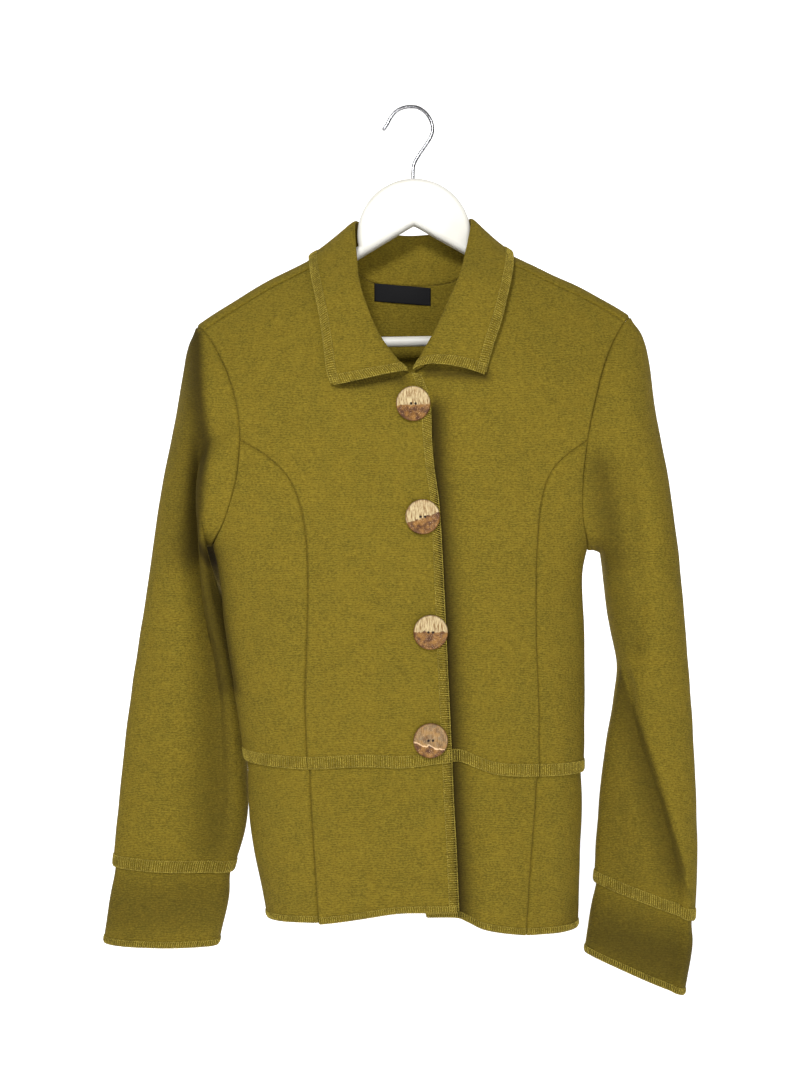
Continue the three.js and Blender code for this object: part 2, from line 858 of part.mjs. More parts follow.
function backPanel() {
  const seams = Object.fromEntries(
    Object.entries(SIDES).map(([side, spec]) => [
      side,
      joined(
        [reversed(onBack(spec.armhole.roll)), STEPS.armholeRoll],
        [reversed(onBack(spec.armhole.back)), STEPS.armholeBack],
        [sideSeam(side, spec.underarmDown, spec.waistDown, true), STEPS.princess],
      ),
    ]),
  );
  const shoulder = (side) => {
    const from = SIDES[side].neck[SIDES[side].neck.length - 1].x;
    const to = SIDES[side].armhole.upper[0].x;
    return (fraction) => placedBack(from + (to - from) * fraction, -ROLL_RUN);
  };
  return panel(
    'back',
    {
      top: joined(
        [reversed(shoulder('right')), STEPS.shoulder],
        [onBack(NECK_BACK), STEPS.backNeck],
        [shoulder('left'), STEPS.shoulder],
      ),
      bottom: backLevel('waistDown'),
      start: seams.right,
      end: seams.left,
    },
    STEPS.armholeRoll + STEPS.armholeBack + STEPS.princess,
    STEPS.backNeck + 2 * STEPS.shoulder,
    backLift,
  );
}

// Peplum

function peplumCentre(side) {
  const spec = SIDES[side];
  const lift = frontLift(spec);
  const edgeTop = frontEdgeX(waistDown(40)) + spec.edgeShift;
  const hemStart = smooth(spec.hem, 'x', 'down')(40 + spec.edgeShift);
  const edgeBottom = frontEdgeX(hemStart) + spec.edgeShift;
  const seam = spec.peplumSeam;
  return panel(
    `peplum_centre_${side}`,
    {
      top: between(WAIST, edgeTop, seam[0].x, LAP),
      bottom: between(spec.hem, edgeBottom, seam[seam.length - 1].x),
      start: frontEdge(spec, waistDown(edgeTop) - LAP, hemStart),
      end: onFront(seam),
    },
    STEPS.peplum,
    STEPS.frontNeck + STEPS.shoulder,
    (point) => lift(point) + lapSink(point, waistDown(point.x)),
    LAP_CROWD,
  );
}

function peplumSide(side) {
  const spec = SIDES[side];
  const lift = frontLift(spec);
  const seam = spec.peplumSeam;
  const { 0: first, [seam.length - 1]: last } = seam;
  const across = (from, toDown) =>
    level(placed(from.x, from.down)[0], (spec.sign * Math.PI) / 2, from.down, toDown);
  return panel(
    `peplum_side_${side}`,
    {
      top: across(first, spec.waistDown - LAP),
      bottom: across(last, spec.hemDown),
      start: onFront(seam),
      end: sideSeam(side, spec.waistDown - LAP, spec.hemDown),
    },
    STEPS.peplum,
    STEPS.armholeLower,
    (point) => lift(point) + lapSink(point, waistDown(point.x)),
    LAP_CROWD,
  );
}

function peplumBack() {
  const backWaist = (point) => {
    const share = THREE.MathUtils.clamp((point.x + 160) / 329, 0, 1);
    return SIDES.right.waistDown + (SIDES.left.waistDown - SIDES.right.waistDown) * share;
  };
  return panel(
    'peplum_back',
    {
      top: backLevel('waistDown', LAP),
      bottom: backLevel('hemDown'),
      start: sideSeam('right', SIDES.right.waistDown - LAP, SIDES.right.hemDown, true),
      end: sideSeam('left', SIDES.left.waistDown - LAP, SIDES.left.hemDown, true),
    },
    STEPS.peplum,
    STEPS.backNeck + 2 * STEPS.shoulder,
    (point) => backLift(point) + lapSink(point, backWaist(point)),
    LAP_CROWD,
  );
}

// Sleeves and cuffs

const FRONT_AROUND = STEPS.armholeUpper + STEPS.armholeLower;
const BACK_AROUND = STEPS.armholeBack + STEPS.armholeRoll;
const SLEEVE_AROUND = FRONT_AROUND + BACK_AROUND;

// The sleeve's start at a step round the armhole, down the front and then up the back: clear of the
// panel by a seam gap, with the way out of the panel's edge
function armholeAt(side, step) {
  const { upper, lower, back, roll } = SIDES[side].armhole;
  const loop = joined(
    [onFront(upper), STEPS.armholeUpper],
    [onFront(lower), STEPS.armholeLower],
    [onBack(back), STEPS.armholeBack],
    [onBack(roll), STEPS.armholeRoll],
  );
  const at = (place) => {
    const [turn, run] = loop(((place + SLEEVE_AROUND) % SLEEVE_AROUND) / SLEEVE_AROUND);
    return { point: body(turn, run), normal: bodyNormal(turn, run) };
  };
  const { point, normal } = at(step);
  const tangent = at(step + 0.1).point.sub(at(step - 0.1).point);
  const out = tangent.cross(normal).normalize().multiplyScalar(-SIDES[side].sign);
  const { smoothstep, lerp } = THREE.MathUtils;
  const rolled = FRONT_AROUND + STEPS.armholeBack;
  const under = smoothstep(step, FRONT_AROUND, FRONT_AROUND + 1);
  const behind = under * (1 - smoothstep(step, rolled - 1, rolled));
  point.addScaledVector(out, lerp(ARMHOLE_GAP, BACK_ARMHOLE_GAP, behind));
  point.addScaledVector(normal, 2 * SEAM_GAP);
  return { point, out };
}

const sleeveTracks = Object.fromEntries(
  Object.entries(SIDES).map(([side, spec]) => {
    const rows = spec.sleeve.map((row, i) => ({ ...row, row: i }));
    const names = SLEEVE_COLUMNS.split(' ');
    return [side, Object.fromEntries(names.map((name) => [name, smooth(rows, 'row', name)]))];
  }),
);

// A point of a plain section at a row of the sleeve's table. The angle is 0 at the outer end, a quarter
// turn at the front and half a turn at the inner end.
function section(side, row, angle) {
  const t = sleeveTracks[side];
  const across = Math.cos(angle);
  const deep = Math.abs(Math.sin(angle)) ** SECTION_ROUND;
  const x = (t.outerX(row) + t.innerX(row)) / 2 + ((t.outerX(row) - t.innerX(row)) / 2) * across;
  const down =
    (t.outerDown(row) + t.innerDown(row)) / 2 + ((t.outerDown(row) - t.innerDown(row)) / 2) * across;
  const front = Math.sin(angle) > 0;
  let y = t.middle(row) + deep * (front ? -t.front(row) : t.back(row));
  if (front) {
    const past = THREE.MathUtils.smoothstep((t.fold(row) - across) / FOLD_SPREAD, -0.5, 0.5);
    const trough = Math.exp(-(((across - t.crease(row)) / CREASE_SPREAD) ** 2));
    y += deep * (t.dip(row) * trough + t.drop(row) * past);
  }
  return new THREE.Vector3(x, y, -down);
}

// The angle of a section that faces a step round the armhole
function angleOf(step) {
  return step <= FRONT_AROUND
    ? (Math.PI * step) / FRONT_AROUND
    : Math.PI + (Math.PI * (step - FRONT_AROUND)) / BACK_AROUND;
}

// The sleeve's surface: plain sections, bent at the top so that the first one is the armhole
function sleeve(side, row, step) {
  const point = section(side, row, angleOf(step));
  if (row >= CAP_ROWS) return point;
  const share = (1 - row / CAP_ROWS) ** 2;
  const shift = armholeAt(side, step).point.sub(section(side, 0, angleOf(step)));
  return point.addScaledVector(shift, share);
}

function sleeveNormal(side, row, step) {
  const small = 0.02;
  const last = SIDES[side].sleeve.length - 1;
  const before = Math.max(row - small, 0);
  const after = Math.min(row + small, last);
  const along = sleeve(side, after, step).sub(sleeve(side, before, step));
  const back = (step - 0.2 + SLEEVE_AROUND) % SLEEVE_AROUND;
  const round = sleeve(side, row, (step + 0.2) % SLEEVE_AROUND).sub(sleeve(side, row, back));
  return round.cross(along).multiplyScalar(SIDES[side].sign).normalize();
}

function sleeveTube(name, side, fromRow, toRow, steps, sink, crowd = 1) {
  const outer = [];
  const inward = [];
  for (let i = 0; i <= steps; i += 1) {
    const row = fromRow + (toRow - fromRow) * (i / steps) ** crowd;
    const points = [];
    const inwards = [];
    for (let step = 0; step < SLEEVE_AROUND; step += 1) {
      const normal = sleeveNormal(side, row, step);
      if (row < 1) {
        const { out } = armholeAt(side, step);
        normal.addScaledVector(out, -Math.max(0, normal.dot(out)) * (1 - row)).normalize();
      }
      const height = SLEEVE_EASE * THREE.MathUtils.smoothstep(row, 0, SLEEVE_EASE_ROWS) + sink(row);
      points.push(sleeve(side, row, step).addScaledVector(normal, height));
      inwards.push(normal.clone().multiplyScalar(-CLOTH));
    }
    outer.push(points);
    inward.push(inwards);
  }
  drawIn(outer, true);
  return wall(name, outer, inward, MATERIALS.wool, true);
}

function cuffTube(side) {
  const seamRow = CUFF_SEAM_ROW[side];
  const last = SIDES[side].sleeve.length - 1;
  const sink = (row) => -LAP_STEP * Math.exp(-((Math.max(0, row - seamRow) / 0.7) ** 2));
  return sleeveTube(`cuff_${side}`, side, seamRow - CUFF_LAP_ROWS, last, STEPS.cuff, sink, LAP_CROWD);
}

// Collar

const collarAt = Object.fromEntries(
  Object.keys(COLLAR[0]).map((name) => [name, smooth(COLLAR, 'along', name)]),
);

// The neckline under the collar at a place along it, and the way out of the neck edge in the cloth
function necklineAt(along) {
  const { rightShoulder, leftShoulder } = COLLAR_ALONG;
  const curves = {
    right: (a) => onFront(NECK_RIGHT.slice(1))(a / rightShoulder),
    back: (a) => onBack(NECK_BACK)((a - rightShoulder) / (leftShoulder - rightShoulder)),
    left: (a) => onFront(NECK_LEFT.slice(1))((1 - a) / (1 - leftShoulder)),
  };
  const part = along < rightShoulder ? 'right' : along > leftShoulder ? 'left' : 'back';
  const lift = part === 'back' ? backLift : frontLift(SIDES[part]);
  const lifted = (a) => {
    const [turn, run] = curves[part](a);
    const normal = bodyNormal(turn, run);
    const point = body(turn, run);
    return { point: point.addScaledVector(normal, lift(point)), normal };
  };
  const spans = {
    right: [0, rightShoulder],
    back: [rightShoulder, leftShoulder],
    left: [leftShoulder, 1],
  };
  const [low, high] = spans[part];
  const here = lifted(along);
  const tangent = lifted(Math.min(along + 0.004, high)).point.sub(
    lifted(Math.max(along - 0.004, low)).point,
  );
  return { ...here, out: tangent.cross(here.normal).normalize() };
}

// A cubic Bezier curve's point
function bezier(points, t) {
  const s = 1 - t;
  const weights = [s * s * s, 3 * s * s * t, 3 * s * t * t, t * t * t];
  return points.reduce(
    (sum, point, i) => sum.addScaledVector(point, weights[i]),
    new THREE.Vector3(),
  );
}

// The share of the steps across the collar that its stand takes
const STAND_SHARE = 5 / 11;

// The collar's face: up the stand from the neckline to the fold, and down the fall to the edge. At both
// ends the fall's edge curves upward between its corners. The cloth lies on the fold's inner side.
function collarPoint(along, across) {
  const neck = necklineAt(along);
  const ending = Math.max(0, 1 - Math.min(along, 1 - along) / COLLAR_END_RUN);
  const foot = neck.point
    .clone()
    .addScaledVector(neck.out, COLLAR_GAP)
    .addScaledVector(neck.normal, COLLAR_END_LIFT * ending);
  const edge = new THREE.Vector3(
    collarAt.edgeX(along),
    collarAt.edgeY(along),
    -collarAt.edgeDown(along),
  );
  const crest = new THREE.Vector3(
    collarAt.foldX(along),
    collarAt.foldY(along),
    -collarAt.foldDown(along),
  );
  const over = edge.clone().sub(foot);
  const rise = crest.clone().sub(foot).normalize();
  over.addScaledVector(rise, -over.dot(rise)).normalize();
  crest.addScaledVector(rise, -CLOTH);
  if (across < STAND_SHARE) {
    const lean = crest.clone().sub(foot);
    return bezier(
      [
        foot,
        foot.clone().addScaledVector(lean, 0.4),
        crest
          .clone()
          .addScaledVector(over, -Math.min(FOLD_HANDLE, lean.length() * 0.3))
          .addScaledVector(lean, -0.08),
        crest,
      ],
      across / STAND_SHARE,
    );
  }
  const fall = edge.clone().sub(crest);
  const outFromFall = fall.clone().normalize();
  const away = rise.clone().addScaledVector(outFromFall, -rise.dot(outFromFall)).normalize();
  const bulge = (4 / 3) * collarAt.bulge(along);
  const fallen = (across - STAND_SHARE) / (1 - STAND_SHARE);
  const near = Math.max(0, 1 - Math.min(along, 1 - along) / COLLAR_ARCH_RUN);
  const arch = COLLAR_ARCH * near * near * Math.sin(Math.PI * fallen);
  const point = bezier(
    [
      crest,
      crest.clone().addScaledVector(over, FOLD_HANDLE).addScaledVector(away, bulge * 0.3),
      crest.clone().addScaledVector(fall, 0.6).addScaledVector(away, bulge),
      edge,
    ],
    fallen,
  );
  const tilt = outFromFall.cross(away);
  return point.addScaledVector(tilt, Math.sign(tilt.z) * arch);
}

function collarMesh() {
  const stations = 2 * STEPS.frontNeck + STEPS.backNeck;
  const alongOf = (k) => {
    const { rightShoulder, leftShoulder } = COLLAR_ALONG;
    if (k <= STEPS.frontNeck) return (rightShoulder * k) / STEPS.frontNeck;
    if (k >= stations - STEPS.frontNeck) {
      return 1 - ((1 - leftShoulder) * (stations - k)) / STEPS.frontNeck;
    }
    return rightShoulder + ((leftShoulder - rightShoulder) * (k - STEPS.frontNeck)) / STEPS.backNeck;
  };
  const face = [];
  for (let k = 0; k <= stations; k += 1) {
    const row = [];
    for (let j = 0; j <= STEPS.collar; j += 1) row.push(collarPoint(alongOf(k), j / STEPS.collar));
    face.push(row);
  }
  const inward = face.map((row, k) =>
    row.map((_, j) => {
      const before = face[Math.max(k - 1, 0)][j];
      const after = face[Math.min(k + 1, stations)][j];
      const low = row[Math.max(j - 1, 0)];
      const high = row[Math.min(j + 1, STEPS.collar)];
      const along = after.clone().sub(before);
      return high.clone().sub(low).cross(along).normalize().multiplyScalar(CLOTH);
    }),
  );
  return wall('collar', face, inward, MATERIALS.wool);
}

// Solids by manifold-3d, for pieces that are drilled

function solidOf(geometry) {
  const bare = geometry.clone();
  bare.deleteAttribute('normal');
  bare.deleteAttribute('uv');
  const merged = mergeVertices(bare, 1e-4);
  return new wasm.Manifold(
    new wasm.Mesh({
      numProp: 3,
      vertProperties: new Float32Array(merged.getAttribute('position').array),
      triVerts: new Uint32Array(merged.getIndex().array),
    }),
  );
}

function geometryOf(solid) {
  const mesh = solid.getMesh();
  const geometry = new THREE.BufferGeometry();
  geometry.setAttribute('position', new THREE.Float32BufferAttribute(mesh.vertProperties, 3));
  geometry.setIndex([...mesh.triVerts]);
  return geometry;
}

// A round rod between two points
function rod(from, to, radius, sides) {
  const geometry = new THREE.CylinderGeometry(radius, radius, from.distanceTo(to), sides);
  const turn = new THREE.Quaternion().setFromUnitVectors(
    new THREE.Vector3(0, 1, 0),
    to.clone().sub(from).normalize(),
  );
  geometry.applyQuaternion(turn);
  return geometry.translate(...from.clone().add(to).divideScalar(2).toArray());
}

// Buttons

// A round disc with a shallow dish in its face, and two sewing holes
function buttonGeometry() {
  const r = BUTTON_RADIUS;
  const t = BUTTON_THICK;
  const profile = [
    [0, 0],
    [r - 2.2, 0],
    [r - 0.4, 0.9],
    [r, 1.9],
    [r - 0.8, t],
    [r - 3, t - 0.1],
    [r * 0.4, t - 0.8],
    [0, t - 1],
  ].map(([radius, height]) => new THREE.Vector2(radius, height));
  let solid = solidOf(new THREE.LatheGeometry(profile, 22));
  for (const side of [-1, 1]) {
    const x = (side * BUTTON_HOLE_SPACING) / 2;
    const hole = rod(
      new THREE.Vector3(x, -1, 0),
      new THREE.Vector3(x, t + 1, 0),
      BUTTON_HOLE_RADIUS,
      8,
    );
    solid = solid.subtract(solidOf(hole));
  }
  return geometryOf(solid).rotateX(Math.PI);
}

// How far a piece can move back before it is a fit's gap from the ground behind it
function roomBehind(mesh, ground) {
  mesh.updateMatrixWorld(true);
  const position = mesh.geometry.getAttribute('position');
  const caster = new THREE.Raycaster();
  const backwards = new THREE.Vector3(0, 1, 0);
  let room = Infinity;
  for (let i = 0; i < position.count; i += 1) {
    const corner = new THREE.Vector3().fromBufferAttribute(position, i);
    caster.set(mesh.localToWorld(corner), backwards);
    for (const hit of caster.intersectObject(ground)) room = Math.min(room, hit.distance);
  }
  return room - FIT;
}

// The buttons, each a little turned and tipped on its thread, seated on the right front
function buttons(ground) {
  const geometry = buttonGeometry();
  return BUTTONS.map((row, i) => {
    const mesh = meshFrom(`button_${i + 1}`, geometry, MATERIALS.button);
    mesh.position.set(row.x, BUTTON_START_Y, -row.down);
    mesh.rotation.set(
      THREE.MathUtils.degToRad(row.tip),
      0,
      THREE.MathUtils.degToRad(row.turn),
      'ZXY',
    );
    mesh.position.y += roomBehind(mesh, ground);
    return mesh;
  });
}

// Label

// The label's sides, and the heights of its top at both of them
const LABEL = { left: -35, right: 20.5, topLeft: 165, topRight: 169.5, height: 17 };

// The label hangs inside the back over the neck seam, a thin plate made from the back's own points
function label() {
  const rows = 3;
  const columns = 8;
  const outer = [];
  const inward = [];
  for (let i = 0; i <= rows; i += 1) {
    const points = [];
    const inwards = [];
    for (let j = 0; j <= columns; j += 1) {
      const u = j / columns;
      const x = LABEL.left + (LABEL.right - LABEL.left) * u;
      const down = LABEL.topLeft + (LABEL.topRight - LABEL.topLeft) * u + (LABEL.height * i) / rows;
      const [turn, run] = placed(x, down, true);
      const normal = bodyNormal(turn, run);
      points.push(body(turn, run).addScaledVector(normal, -CLOTH - FIT));
      inwards.push(normal.multiplyScalar(-LABEL_THICK));
    }
    outer.push(points);
    inward.push(inwards);
  }
  return wall('neck_label', outer, inward, MATERIALS.label);
}

// Hanger

const armTop = smooth(ARM, 'x', 'down');

// Half of the hanger's outline, from the top of the arch round the arm to the notch below it
function hangerHalf() {
  const inset = EDGE_ROUND;
  const points = [];
  const radius = ARCH_RADIUS - inset;
  const archEnd = THREE.MathUtils.degToRad(104);
  for (let k = 0; k <= 8; k += 1) {
    const angle = (archEnd * k) / 8;
    points.push([radius * Math.sin(angle), -ARCH_DOWN + radius * Math.cos(angle)]);
  }
  for (const x of [ARM[0].x, 105, 138, 172, HANGER_HALF - 14]) {
    points.push([x - 2, -armTop(x) - inset]);
  }
  const tip = armTop(HANGER_HALF);
  points.push([HANGER_HALF - inset - 2, -tip - inset - 1]);
  points.push([HANGER_HALF - inset, -tip - inset - 8]);
  points.push([HANGER_HALF - inset - 3, -BAR_DOWN - 3]);
  points.push([HANGER_HALF - inset - 9, -BAR_DOWN - 7]);
  points.push([HANGER_HALF - inset - 17, -BAR_DOWN - 5]);
  const lower = (x) => NOTCH_DOWN + NOTCH_SLOPE * x - inset / Math.cos(Math.atan(NOTCH_SLOPE));
  points.push([HANGER_HALF - 34, -lower(HANGER_HALF - 40)]);
  points.push([110, -lower(110)]);
  return points;
}

function hangerWood() {
  const half = hangerHalf();
  const notch = [0, -NOTCH_DOWN + EDGE_ROUND / Math.cos(Math.atan(NOTCH_SLOPE))];
  const mirrored = half
    .slice(1)
    .reverse()
    .map(([x, z]) => [-x, z]);
  const outline = [...half, notch, ...mirrored].map(([x, z]) => new THREE.Vector2(x, z));
  const geometry = new THREE.ExtrudeGeometry(new THREE.Shape(outline), {
    depth: HANGER_THICK - 2 * EDGE_ROUND,
    bevelEnabled: true,
    bevelSize: EDGE_ROUND,
    bevelThickness: EDGE_ROUND,
    bevelSegments: 2,
    steps: 1,
  });
  geometry.translate(0, 0, -(HANGER_THICK / 2 - EDGE_ROUND));
  geometry.rotateX(Math.PI / 2);
  const bar = rod(
    new THREE.Vector3(-BAR_HALF - FIT, 0, -BAR_DOWN),
    new THREE.Vector3(BAR_HALF + FIT, 0, -BAR_DOWN),
    BAR_RADIUS + FIT,
    20,
  );
  const socket = rod(
    new THREE.Vector3(0, 0, -HOOK[HOOK.length - 1].down - FIT),
    new THREE.Vector3(0, 0, -60),
    WIRE_RADIUS + FIT,
    12,
  );
  const solid = solidOf(geometry).subtract(solidOf(bar)).subtract(solidOf(socket));
  return meshFrom('hanger_wood', geometryOf(solid), MATERIALS.wood);
}

function hangerBar() {
  const geometry = rod(
    new THREE.Vector3(-BAR_HALF, 0, -BAR_DOWN),
    new THREE.Vector3(BAR_HALF, 0, -BAR_DOWN),
    BAR_RADIUS,
    16,
  );
  return meshFrom('hanger_bar', geometryOf(solidOf(geometry)), MATERIALS.wood);
}

// The wire is a round section swept along the hook's line
function hangerHook() {
  const points = HOOK.map((row) => new THREE.Vector3(row.x - HANGER_CENTRE, 0, -row.down));
  const path = new THREE.CatmullRomCurve3(points, false, 'centripetal');
  const round = new THREE.Shape().absarc(0, 0, WIRE_RADIUS, 0, 2 * Math.PI);
  const geometry = new THREE.ExtrudeGeometry(round, { steps: 44, curveSegments: 5, extrudePath: path });
  return meshFrom('hanger_hook', geometryOf(solidOf(geometry)), MATERIALS.wire);
}

function hanger() {
  const group = new THREE.Group();
  const own = new THREE.Group();
  own.position.x = HANGER_CENTRE;
  own.add(hangerWood(), hangerBar(), hangerHook());
  group.rotation.y = -HANGER_TILT;
  group.add(own);
  return group;
}

const cardigan = new THREE.Group();
for (const side of Object.keys(SIDES)) {
  const front = frontCentre(side);
  cardigan.add(front, frontSide(side), peplumCentre(side), peplumSide(side));
  cardigan.add(sleeveTube(`sleeve_${side}`, side, 0, CUFF_SEAM_ROW[side], STEPS.sleeve, () => 0));
  cardigan.add(cuffTube(side));
  if (side === 'right') cardigan.add(...buttons(front));
}
cardigan.add(backPanel(), peplumBack(), collarMesh(), label(), hanger());

export default cardigan;
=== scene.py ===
"""A boiled-wool cardigan on a wooden coat hanger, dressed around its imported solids.

The cloth's sums are in millimetres, with down counted from the hook, and each mesh is made in
metres. +X is the viewer's right, the fronts face -Y, and right and left in the names are the
wearer's.
"""

import bmesh
import bpy
import numpy as np
from bpy.props import FloatProperty, FloatVectorProperty, PointerProperty
from mathutils import Matrix, Vector


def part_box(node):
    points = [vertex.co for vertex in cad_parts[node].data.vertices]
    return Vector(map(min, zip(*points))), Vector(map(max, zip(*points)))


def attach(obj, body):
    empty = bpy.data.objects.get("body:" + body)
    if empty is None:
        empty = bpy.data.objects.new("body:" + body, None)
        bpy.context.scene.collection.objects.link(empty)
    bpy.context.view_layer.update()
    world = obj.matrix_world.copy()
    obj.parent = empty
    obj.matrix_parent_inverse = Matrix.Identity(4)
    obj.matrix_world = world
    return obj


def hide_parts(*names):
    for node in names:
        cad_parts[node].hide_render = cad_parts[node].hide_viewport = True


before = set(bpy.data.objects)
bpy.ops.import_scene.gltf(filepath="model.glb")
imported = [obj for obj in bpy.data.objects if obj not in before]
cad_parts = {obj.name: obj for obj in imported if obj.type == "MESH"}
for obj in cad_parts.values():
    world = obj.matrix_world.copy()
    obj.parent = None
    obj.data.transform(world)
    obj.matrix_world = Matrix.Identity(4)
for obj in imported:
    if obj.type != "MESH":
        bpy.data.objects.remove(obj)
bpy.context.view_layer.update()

bl_info = {
    "name": "Boiled-wool cardigan",
    "version": (1, 0, 0),
    "blender": (4, 5, 0),
    "location": "3D View > Sidebar > Cardigan",
    "description": "Builds a cardigan's cloth, stitching and buttons, its hanger and a studio",
    "category": "Object",
}

MM = 0.001
TURN = 2 * np.pi

# The height of a knitted course, in metres
KNIT_COURSE = 0.00155

# Cloth, seams and folds
CLOTH = 2.4
LAP_STEP = CLOTH + 0.4
LAP_FADE = 26
LAP = 8
RIGHT_RISE_FROM_EDGE = (-72, -32)
LEFT_RISE_FROM_EDGE = (4, 44)
FRONT_MIDDLE = 40.0
BACK_WAIST_START = -160
BACK_WAIST_WIDTH = 329
SEAM_DEPTH = 1.9
SEAM_HALF_WIDTH = 1.3
EDGE_BULGE = 0.9
SHOULDER_ROLL = 12
ROLL_RUN = SHOULDER_ROLL * np.pi / 2
FRONT_SPREAD = 220
BACK_SPREAD = 150
SIDE_SEAM_LEAN = 8
SECTION_POWER = 2.3
UNDERLAP = 28
RIGHT_RAISE = 2.6
LEFT_SINK = 3.6
CELL = 4.2
EDGE_LINES = (0.7, 1.5, 2.5, 3.8, 5.5, 8.0)
EVENING_PASSES = 700
BODY_PASSES = 6
EDGES = ("top", "bottom", "start", "end")

# Steps in which the solids' panels share their seams
STEPS = {
    "princess": 12,
    "armhole_upper": 6,
    "armhole_lower": 5,
    "armhole_back": 7,
    "armhole_roll": 6,
    "front_neck": 8,
    "back_neck": 16,
    "shoulder": 4,
}


def table(columns, *rows):
    """A table as a dictionary of arrays, one for each named column."""
    return dict(zip(columns.split(), np.array(rows, float).T))


BODY = table(
    "down left right front back",
    (120, -246, 246, 58, 40), (280, -240, 240, 61, 40), (325, -228, 222, 63, 40),
    (362, -214, 199, 64, 40), (400, -199, 181, 64, 40), (428, -189, 170.5, 63, 40),
    (452, -183, 166, 62, 40), (500, -178.5, 167, 61, 39), (566, -168, 168.4, 59, 38),
    (635, -159, 167.5, 58, 37), (697, -152.5, 164.6, 60, 38), (755, -142, 162.5, 62, 39),
    (800, -134, 160, 63, 39),
)
RIDGE = table(
    "x down",
    (-208, 212.5), (-180, 193), (-136, 166.5), (-107, 152), (-68, 134), (0, 129), (72, 133),
    (111.5, 149), (170, 177), (216, 203),
)
FRONT_EDGE = table(
    "down x",
    (262, 7), (272, 11), (290, 17), (326, 18.5), (354, 21), (382, 25), (428, 28), (534, 33),
    (607, 36.5), (658, 38.5), (704, 41), (762, 43.5),
)
WAIST = table(
    "x down",
    (-160, 627), (-121, 629.5), (-95.7, 630), (-46, 626.5), (-9, 627.5), (44, 622), (62, 628),
    (80, 634), (121.4, 637.5), (169, 638.5),
)
NECK_BACK = table(
    "x run",
    (-68, -ROLL_RUN), (-67.5, -8), (-66, 3), (-61, 15), (-52, 30), (-36, 42), (2, 46), (40, 42),
    (56, 30), (65, 15), (70, 3), (71.5, -8), (72, -ROLL_RUN),
)
SIDES = {
    "right": {
        "sign": -1,
        "edge_shift": 0,
        "underarm": 426,
        "waist": 627,
        "hem": 778,
        "princess": table(
            "x down",
            (-159, 325.5), (-135, 339.5), (-114, 359), (-102, 386), (-96.3, 420), (-95, 474),
            (-96.3, 520), (-98, 567), (-95.7, 630),
        ),
        "peplum_seam": table("x down", (-95, 622), (-90, 705), (-85.3, 772)),
        "hem_line": table(
            "x down",
            (-137, 778), (-117, 777.5), (-85.3, 773.5), (-32, 764), (0, 760), (44, 759.5),
        ),
        "neck": table(
            "x down",
            (8.6, 266), (-8, 262), (-14, 257), (-30, 238), (-46, 205), (-57, 175), (-64, 156),
            (-68, 146),
        ),
        "armhole_upper": table(
            "x down", (-198, 217.2), (-185, 237), (-172, 262), (-161.6, 297), (-159, 325.5)
        ),
        "armhole_lower": table("x down", (-159, 325.5), (-162.5, 362), (-174, 399), (-190.5, 426)),
        "armhole_back": table(
            "x run",
            (-190.5, 232.6), (-177, 215), (-165, 187), (-160, 145), (-163, 100), (-176, 58),
            (-192, 32), (-201.5, ROLL_RUN),
        ),
        "armhole_roll": table(
            "x run", (-201.5, ROLL_RUN), (-206, 6), (-206, -6), (-198, -ROLL_RUN)
        ),
    },
    "left": {
        "sign": 1,
        "edge_shift": -UNDERLAP,
        "underarm": 430,
        "waist": 638.5,
        "hem": 787,
        "princess": table(
            "x down",
            (166, 325.5), (142, 343), (129.7, 359), (122, 386), (119, 428), (118.2, 474),
            (118.4, 520), (120.3, 567), (121.4, 637.5),
        ),
        "peplum_seam": table("x down", (121, 630), (113, 715), (108.2, 783.5)),
        "hem_line": table(
            "x down",
            (14, 765), (44, 765.5), (54, 770), (66, 775.5), (88, 780), (108.2, 783.5),
        ),
        "neck": table(
            "x down",
            (-18.6, 268), (5, 261), (14, 255), (30, 234), (46, 204), (58, 174), (67, 155),
            (72, 145),
        ),
        "armhole_upper": table(
            "x down", (206, 208.9), (194, 229), (182, 258), (171, 300), (166, 325.5)
        ),
        "armhole_lower": table("x down", (166, 325.5), (161.5, 362), (162, 399), (172, 430)),
        "armhole_back": table(
            "x run",
            (172, 258.8), (166, 235), (164, 200), (166, 160), (172, 110), (184, 62), (199, 32),
            (207.5, ROLL_RUN),
        ),
        "armhole_roll": table("x run", (207.5, ROLL_RUN), (212, 6), (212.5, -6), (206, -ROLL_RUN)),
    },
}

